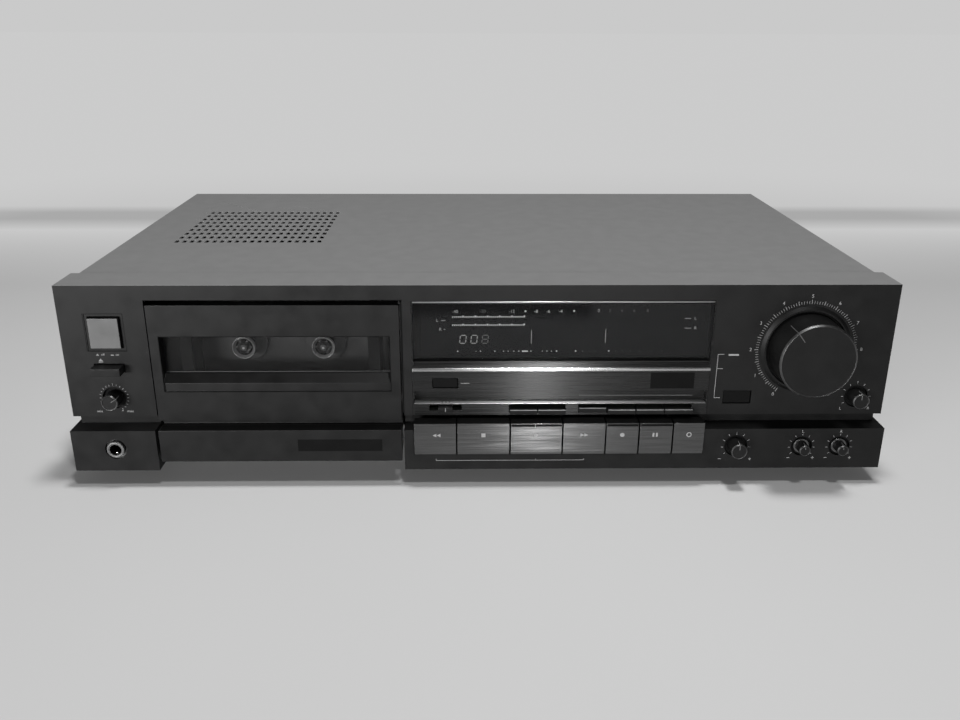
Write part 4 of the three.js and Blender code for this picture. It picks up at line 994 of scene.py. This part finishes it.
def add_switch_details():
    add_plates(timer_plates)
    reach, heights = timer_ribs.reach, (timer_ribs.low, timer_ribs.high)
    outlines = [rectangle(x - reach, x + reach, *heights) for x in timer_ribs.places]
    ribs = [slab(outline, timer_ribs.front, timer_ribs.back) for outline in outlines]
    add_piece("timer_ribs", ribs, "black_plastic", "timer_slider", timer_ribs.edge)
    for name in levers:
        low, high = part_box(name)
        form = moved(lever_edge.form, low.y / MM - FASCIA_Y, high.z / MM)
        strip = slab(form, low.x / MM + lever_edge.inset, high.x / MM - lever_edge.inset, from_side)
        add_piece(name + "_trim", [strip], "lever_trim", name)


# Transport buttons: brushed faces, symbols, and the dark lamp band over three of them
CAP_FRONT = -8.9
SYMBOL_Z = 30.6
face = Sizes(
    form=[(CAP_FRONT, 37.2), (CAP_FRONT, 21.45), (-7.92, 19.1), (-7.6, 19.1), (-8.5, 21.45), (-8.5, 37.2)],
    inset=0.12,
    edge=0.06,
)
pause_bar = rectangle(-0.5, 0.5, -1.15, 1.15)
PAUSE_PLACES = (91.6, 93.4)
STOP_SIDES, STOP_REACH = (0.7, 2.9), 1.1
mute_ring = Sizes(centre=(110.5, SYMBOL_Z), inner=0.9, outer=1.4)
transport_symbols = {
    "rewind_button": [arrow(-23.9, SYMBOL_Z, -2, 2), arrow(-21.8, SYMBOL_Z, -2, 2)],
    "stop_button": [rectangle(*STOP_SIDES, SYMBOL_Z - STOP_REACH, SYMBOL_Z + STOP_REACH)],
    "play_button": [arrow(29.8, SYMBOL_Z, 2.6, 2.6)],
    "forward_button": [arrow(54, SYMBOL_Z, 2, 2), arrow(56.1, SYMBOL_Z, 2, 2)],
    "record_button": [disc((75.1, SYMBOL_Z), 1.2)],
    "pause_button": [moved(pause_bar, x, SYMBOL_Z) for x in PAUSE_PLACES],
}
band = Sizes(inset=0.3, low=35.5, high=36.8, proud=0.06, deep=0.1, edge=0.04)
play_tick = (28.9, 29.3, 35.2, 37)


def add_transport_details():
    for name in transport_buttons:
        low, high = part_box(name)
        sheet = slab(face.form, low.x / MM + face.inset, high.x / MM - face.inset, from_side)
        add_piece(name + "_face", [sheet], "brushed", name, face.edge)
        if name in transport_symbols:
            add_print(name + "_symbol", CAP_FRONT, "ink", name, transport_symbols[name])
    inner, outer, front = mute_ring.inner, mute_ring.outer, CAP_FRONT - PRINT
    ring = [(inner, CAP_FRONT), (inner, front), (outer, front), (outer, CAP_FRONT)]
    add_piece("mute_button_symbol", [turned(mute_ring.centre, ring, sides.dial)], "ink", "mute_button")
    band_front = CAP_FRONT - band.proud
    for name in ("play_button", "record_button", "pause_button"):
        low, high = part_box(name)
        outline = rectangle(low.x / MM + band.inset, high.x / MM - band.inset, band.low, band.high)
        form = slab(outline, band_front, CAP_FRONT + band.deep)
        add_piece(name + "_band", [form], "plate", name, band.edge)
    add_print("play_button_tick", band_front, "ink", "play_button", [rectangle(*play_tick)])


# Reels, seen through the door's window
reel_centres = {"supply_reel": (-126.15, 70.7), "takeup_reel": (-83.65, 70.7)}
reel = Sizes(
    collar=[(5.3, 28.9), (5.3, 27.6), (5.6, 27.2), (6.1, 27.2), (6.4, 27.6), (6.4, 28.9), (5.3, 28.9)],
    rim=[(5.0, 17.6), (5.7, 16.2), (6.0, 16.2), (6.0, 18.6), (4.1, 18.6), (4.1, 18.3), (5.0, 17.6)],
    cup=[(0, 18.1), (4.62, 17.9), (4.62, 18.2), (0, 18.5)],
    dome=[(0, 15.8), (0.7, 15.95), (1.1, 16.5), (1.1, 17), (0, 17)],
    corner=0.15,
    dome_corner=0.3,
)


def add_reel_details():
    for body, centre in reel_centres.items():
        collar_form = turned(centre, rounded(reel.collar, reel.corner), sides.knob)
        add_piece(body + "_collar", [collar_form], "chrome", body)
        rim = turned(centre, rounded(reel.rim, reel.corner), sides.knob)
        add_piece(body + "_rim", [rim], "reel_rim", body)
        add_piece(body + "_cup", [turned(centre, reel.cup, sides.small)], "plate", body)
        # The spindle tip is light plastic in place of chrome: a painted highlight
        dome = turned(centre, rounded(reel.dome, reel.dome_corner), sides.tip)
        add_piece(body + "_tip_painted_highlight", [dome], "light_plastic", body)


# Screws of the cover and the rear panel. A head is (radius, height) pairs over the panel
SIDE_FACE, REAR_FACE = 211.6, 253.4
screw = Sizes(
    side_places=[(60, 28), (215, 28)],
    rear_places=[(-190, 100), (0, 100), (190, 100), (-60, 20), (60, 20), (147, 80), (147, 32)],
    head=[(3.1, 0), (3.1, 0.7), (2.325, 1.5), (0, 1.75)],
    corner=0.5,
    arm=1.7,
    arm_width=0.55,
    arm_low=1.2,
    arm_high=1.8,
)


def screw_head(centre, level, side, place):
    dome = [(radius, level + side * height) for radius, height in screw.head]
    return turned(centre, rounded(dome, screw.corner), sides.screw, place)


# A near-black cross on each head: painted shade for its cross recess
def cross(centre, level, side, place):
    x, z = centre
    arms = [[(x - screw.arm, z), (x + screw.arm, z)], [(x, z - screw.arm), (x, z + screw.arm)]]
    low, high = level + side * screw.arm_low, level + side * screw.arm_high
    return [slab(bar(*arm, screw.arm_width), low, high, place) for arm in arms]


def add_screws():
    places = [(centre, side * SIDE_FACE, side, from_side) for side in (-1, 1) for centre in screw.side_places]
    places += [(centre, REAR_FACE, 1, metres) for centre in screw.rear_places]
    add_piece("screw_heads", [screw_head(*place) for place in places], "steel", "case")
    add_piece("screw_recess_painted_shade", [arm for place in places for arm in cross(*place)], "plate", "case")


# Rear: sleeves and insulators of the phono jacks, pins of the mains inlet
phono = Sizes(
    places=[(134, 45.8), (134, 65.8), (160, 45.8), (160, 65.8)],
    sleeve=[(4.1, 253.4), (5.4, 253.4), (5.4, 254.2), (4.35, 254.4), (4.35, 260.6), (4.1, 261.05)]
    + [(3.5, 261.05), (3.5, 253.4), (4.1, 253.4)],
    sleeve_round=0.12,
    insulator=[(3.45, 259), (3.45, 260.4), (1.9, 260.6), (1.9, 259), (3.45, 259)],
)
inlet = Sizes(
    places=[(-179.5, 35.8), (-170.5, 35.8)],
    pin=[(1.28, 241), (1.28, 249.2), (0.9, 249.95), (0, 249.95)],
    corner=0.3,
)


def add_rear_details():
    profile = rounded(phono.sleeve, phono.sleeve_round)
    sleeves = [turned(place, profile, sides.small) for place in phono.places]
    add_piece("jack_sleeves", sleeves, "chrome", "case")
    insulators = [turned(place, phono.insulator, sides.small) for place in phono.places]
    add_piece("jack_insulators", insulators, "light_plastic", "case")
    pins = [turned(place, rounded(inlet.pin, inlet.corner), sides.tip) for place in inlet.places]
    add_piece("inlet_pins", pins, "chrome", "case")


add_dial_marks()
add_big_knob()
for knob_name, knob in small_knobs.items():
    add_small_knob(knob_name, knob)
add_wells()
add_small_marks()
add_left_section()
add_door_details()
add_display_marks()
add_display_window()
add_centre_details()
add_switch_details()
add_transport_details()
add_reel_details()
add_screws()
add_rear_details()


# Stage, in metres but for the clouds' size: the floor turns into a lit backdrop, with a line of painted shade
# at its foot
FLOOR_REACH = 12.0
floor_look = Sizes(dark=0.56, light=0.575, cloud_size=400, roughness=0.7, specular=0.1)
BACKDROP_FROM, BACKDROP_TO = 0.27, 0.5
SURROUND_FROM, SURROUND_TO = 0.8, 1.1
# Where the band of painted shade at the backdrop's foot lies, how far it spreads and how dark it is
FOOT_SHADE_LINE = 0.583
FOOT_SHADE_SPREAD = 0.06
FOOT_SHADE_CORE = FOOT_SHADE_SPREAD / 3
BACKDROP = 0.6
FOOT_SHADE_TONE = 0.4
NEAR_SHARE, FOOT_SHARE = 0.97, 0.93


def stage_plate(name, corners, level, material):
    mesh = bpy.data.meshes.new(name)
    mesh.from_pydata([(x, y, level) for x, y in rectangle(*corners)], [], [(0, 1, 2, 3)])
    mesh.materials.append(material)
    plate = bpy.data.objects.new(name, mesh)
    bpy.context.scene.collection.objects.link(plate)
    return plate


def seen_rays(tree):
    """1 for rays from the camera, reflections and through glass."""
    rays = tree.nodes.new("ShaderNodeLightPath")
    total = rays.outputs["Is Camera Ray"]
    for kind in ("Is Glossy Ray", "Is Transmission Ray"):
        total = joined(tree, "MAXIMUM", total, rays.outputs[kind])
    return total


def glow(tree, colour):
    return add_node(tree, "ShaderNodeEmission", Color=colour).outputs[0]


def add_floor():
    """A pale table that runs into a backdrop, with a soft line of painted shade where they meet."""
    material, tree, shader = shader_of("floor")
    clouds = noise(tree, floor_look.cloud_size, SOFT_DETAIL)
    pale = clouded(tree, clouds, grey(floor_look.dark), grey(floor_look.light))
    fill(tree, shader, Base_Color=pale, Roughness=floor_look.roughness)
    fill(tree, shader, Specular_IOR_Level=floor_look.specular)
    place = object_place(tree)
    depth = add_node(tree, "ShaderNodeSeparateXYZ", Vector=place).outputs["Y"]
    reach = tree.nodes.new("ShaderNodeVectorMath")
    reach.operation = "LENGTH"
    tree.links.new(place, reach.inputs[0])
    behind = between(tree, depth, 0, 1, BACKDROP_FROM, BACKDROP_TO)
    all_round = between(tree, reach.outputs["Value"], 0, 1, SURROUND_FROM, SURROUND_TO)
    # The backdrop's glow darkens to a band of painted shade where it meets the table
    stops = [
        (BACKDROP_TO, BACKDROP * NEAR_SHARE),
        (FOOT_SHADE_LINE - FOOT_SHADE_CORE, FOOT_SHADE_TONE),
        (FOOT_SHADE_LINE + FOOT_SHADE_CORE, FOOT_SHADE_TONE),
        (FOOT_SHADE_LINE + FOOT_SHADE_SPREAD, BACKDROP * FOOT_SHARE),
        (1.0, BACKDROP),
    ]
    near_glow_and_painted_shade = glow(tree, ramp(tree, depth, [(position, grey(tone)) for position, tone in stops]))
    far = glow(tree, (*grey(BACKDROP), 1))
    backdrop = mixed(tree, all_round, near_glow_and_painted_shade, far)
    share = joined(tree, "MULTIPLY", joined(tree, "MAXIMUM", behind, all_round), seen_rays(tree))
    fill(tree, tree.nodes["Material Output"], Surface=mixed(tree, share, shader.outputs[0], backdrop))
    stage_plate("floor", (-FLOOR_REACH, FLOOR_REACH, -FLOOR_REACH, FLOOR_REACH), 0, material)


card_look = Sizes(corners=(-0.22, 0.1, -0.62, -0.4), level=0.002, dark=0.004, light=0.006, cloud_size=20)


def add_card():
    """A dark card in front of the deck: only glass and gloss show it, as they do a photographer."""
    material, tree, shader = shader_of("dark_card")
    clouds = noise(tree, card_look.cloud_size, SOFT_DETAIL)
    black = clouded(tree, clouds, grey(card_look.dark), grey(card_look.light))
    fill(tree, shader, Base_Color=black, Specular_IOR_Level=0)
    card = stage_plate("dark_card", card_look.corners, card_look.level, material)
    card.visible_camera = False
    card.visible_diffuse = False
    card.visible_shadow = False


# Lamps: where each is and what it aims at, its width and height in metres, its power in watts
lamps = {
    "overhead": Sizes(place=(0.1, -0.12, 1.5), aim=(0.05, -0.05, 0), size=(0.2, 0.2), power=13),
    "front_top": Sizes(place=(0.16, -0.65, 1.4), aim=(0.05, -0.1, 0), size=(0.12, 0.12), power=6),
    "front_low": Sizes(place=(0.141, -1.6, 0.07), aim=(0.03, -0.13, 0.03), size=(0.05, 0.05), power=5.9),
    "right_low": Sizes(place=(0.261, -1.6, 0.07), aim=(0.06, -0.13, 0.03), size=(0.05, 0.05), power=0.3),
    "left_window": Sizes(place=(-1.66, -2.8, 0.31), aim=(-0.1, -0.1, 0.05), size=(1.2, 0.5), power=112),
}


def add_lamp(name, lamp):
    data = bpy.data.lights.new(name, "AREA")
    data.energy = lamp.power
    data.shape = "RECTANGLE"
    data.size, data.size_y = lamp.size
    light = bpy.data.objects.new(name, data)
    bpy.context.scene.collection.objects.link(light)
    light.location = lamp.place
    direction = Vector(lamp.aim) - Vector(lamp.place)
    light.rotation_euler = direction.to_track_quat("-Z", "Y").to_euler()


ROOM_LIGHT = 0.09
ROOM_SEEN = 0.59


def add_world():
    world = bpy.data.worlds.new("studio")
    bpy.context.scene.world = world
    world.use_nodes = True
    tree = world.node_tree
    room = fill(tree, tree.nodes["Background"], Color=(*grey(ROOM_LIGHT), 1), Strength=1)
    seen = add_node(tree, "ShaderNodeBackground", Color=(*grey(ROOM_SEEN), 1), Strength=1)
    rays = tree.nodes.new("ShaderNodeLightPath")
    shown = mixed(tree, rays.outputs["Is Camera Ray"], room.outputs[0], seen.outputs[0])
    fill(tree, tree.nodes["World Output"], Surface=shown)


add_camera()
add_floor()
add_world()
add_card()
for lamp_name, lamp in lamps.items():
    add_lamp(lamp_name, lamp)

bpy.context.scene.view_settings.view_transform = "Standard"

bpy.context.view_layer.update()
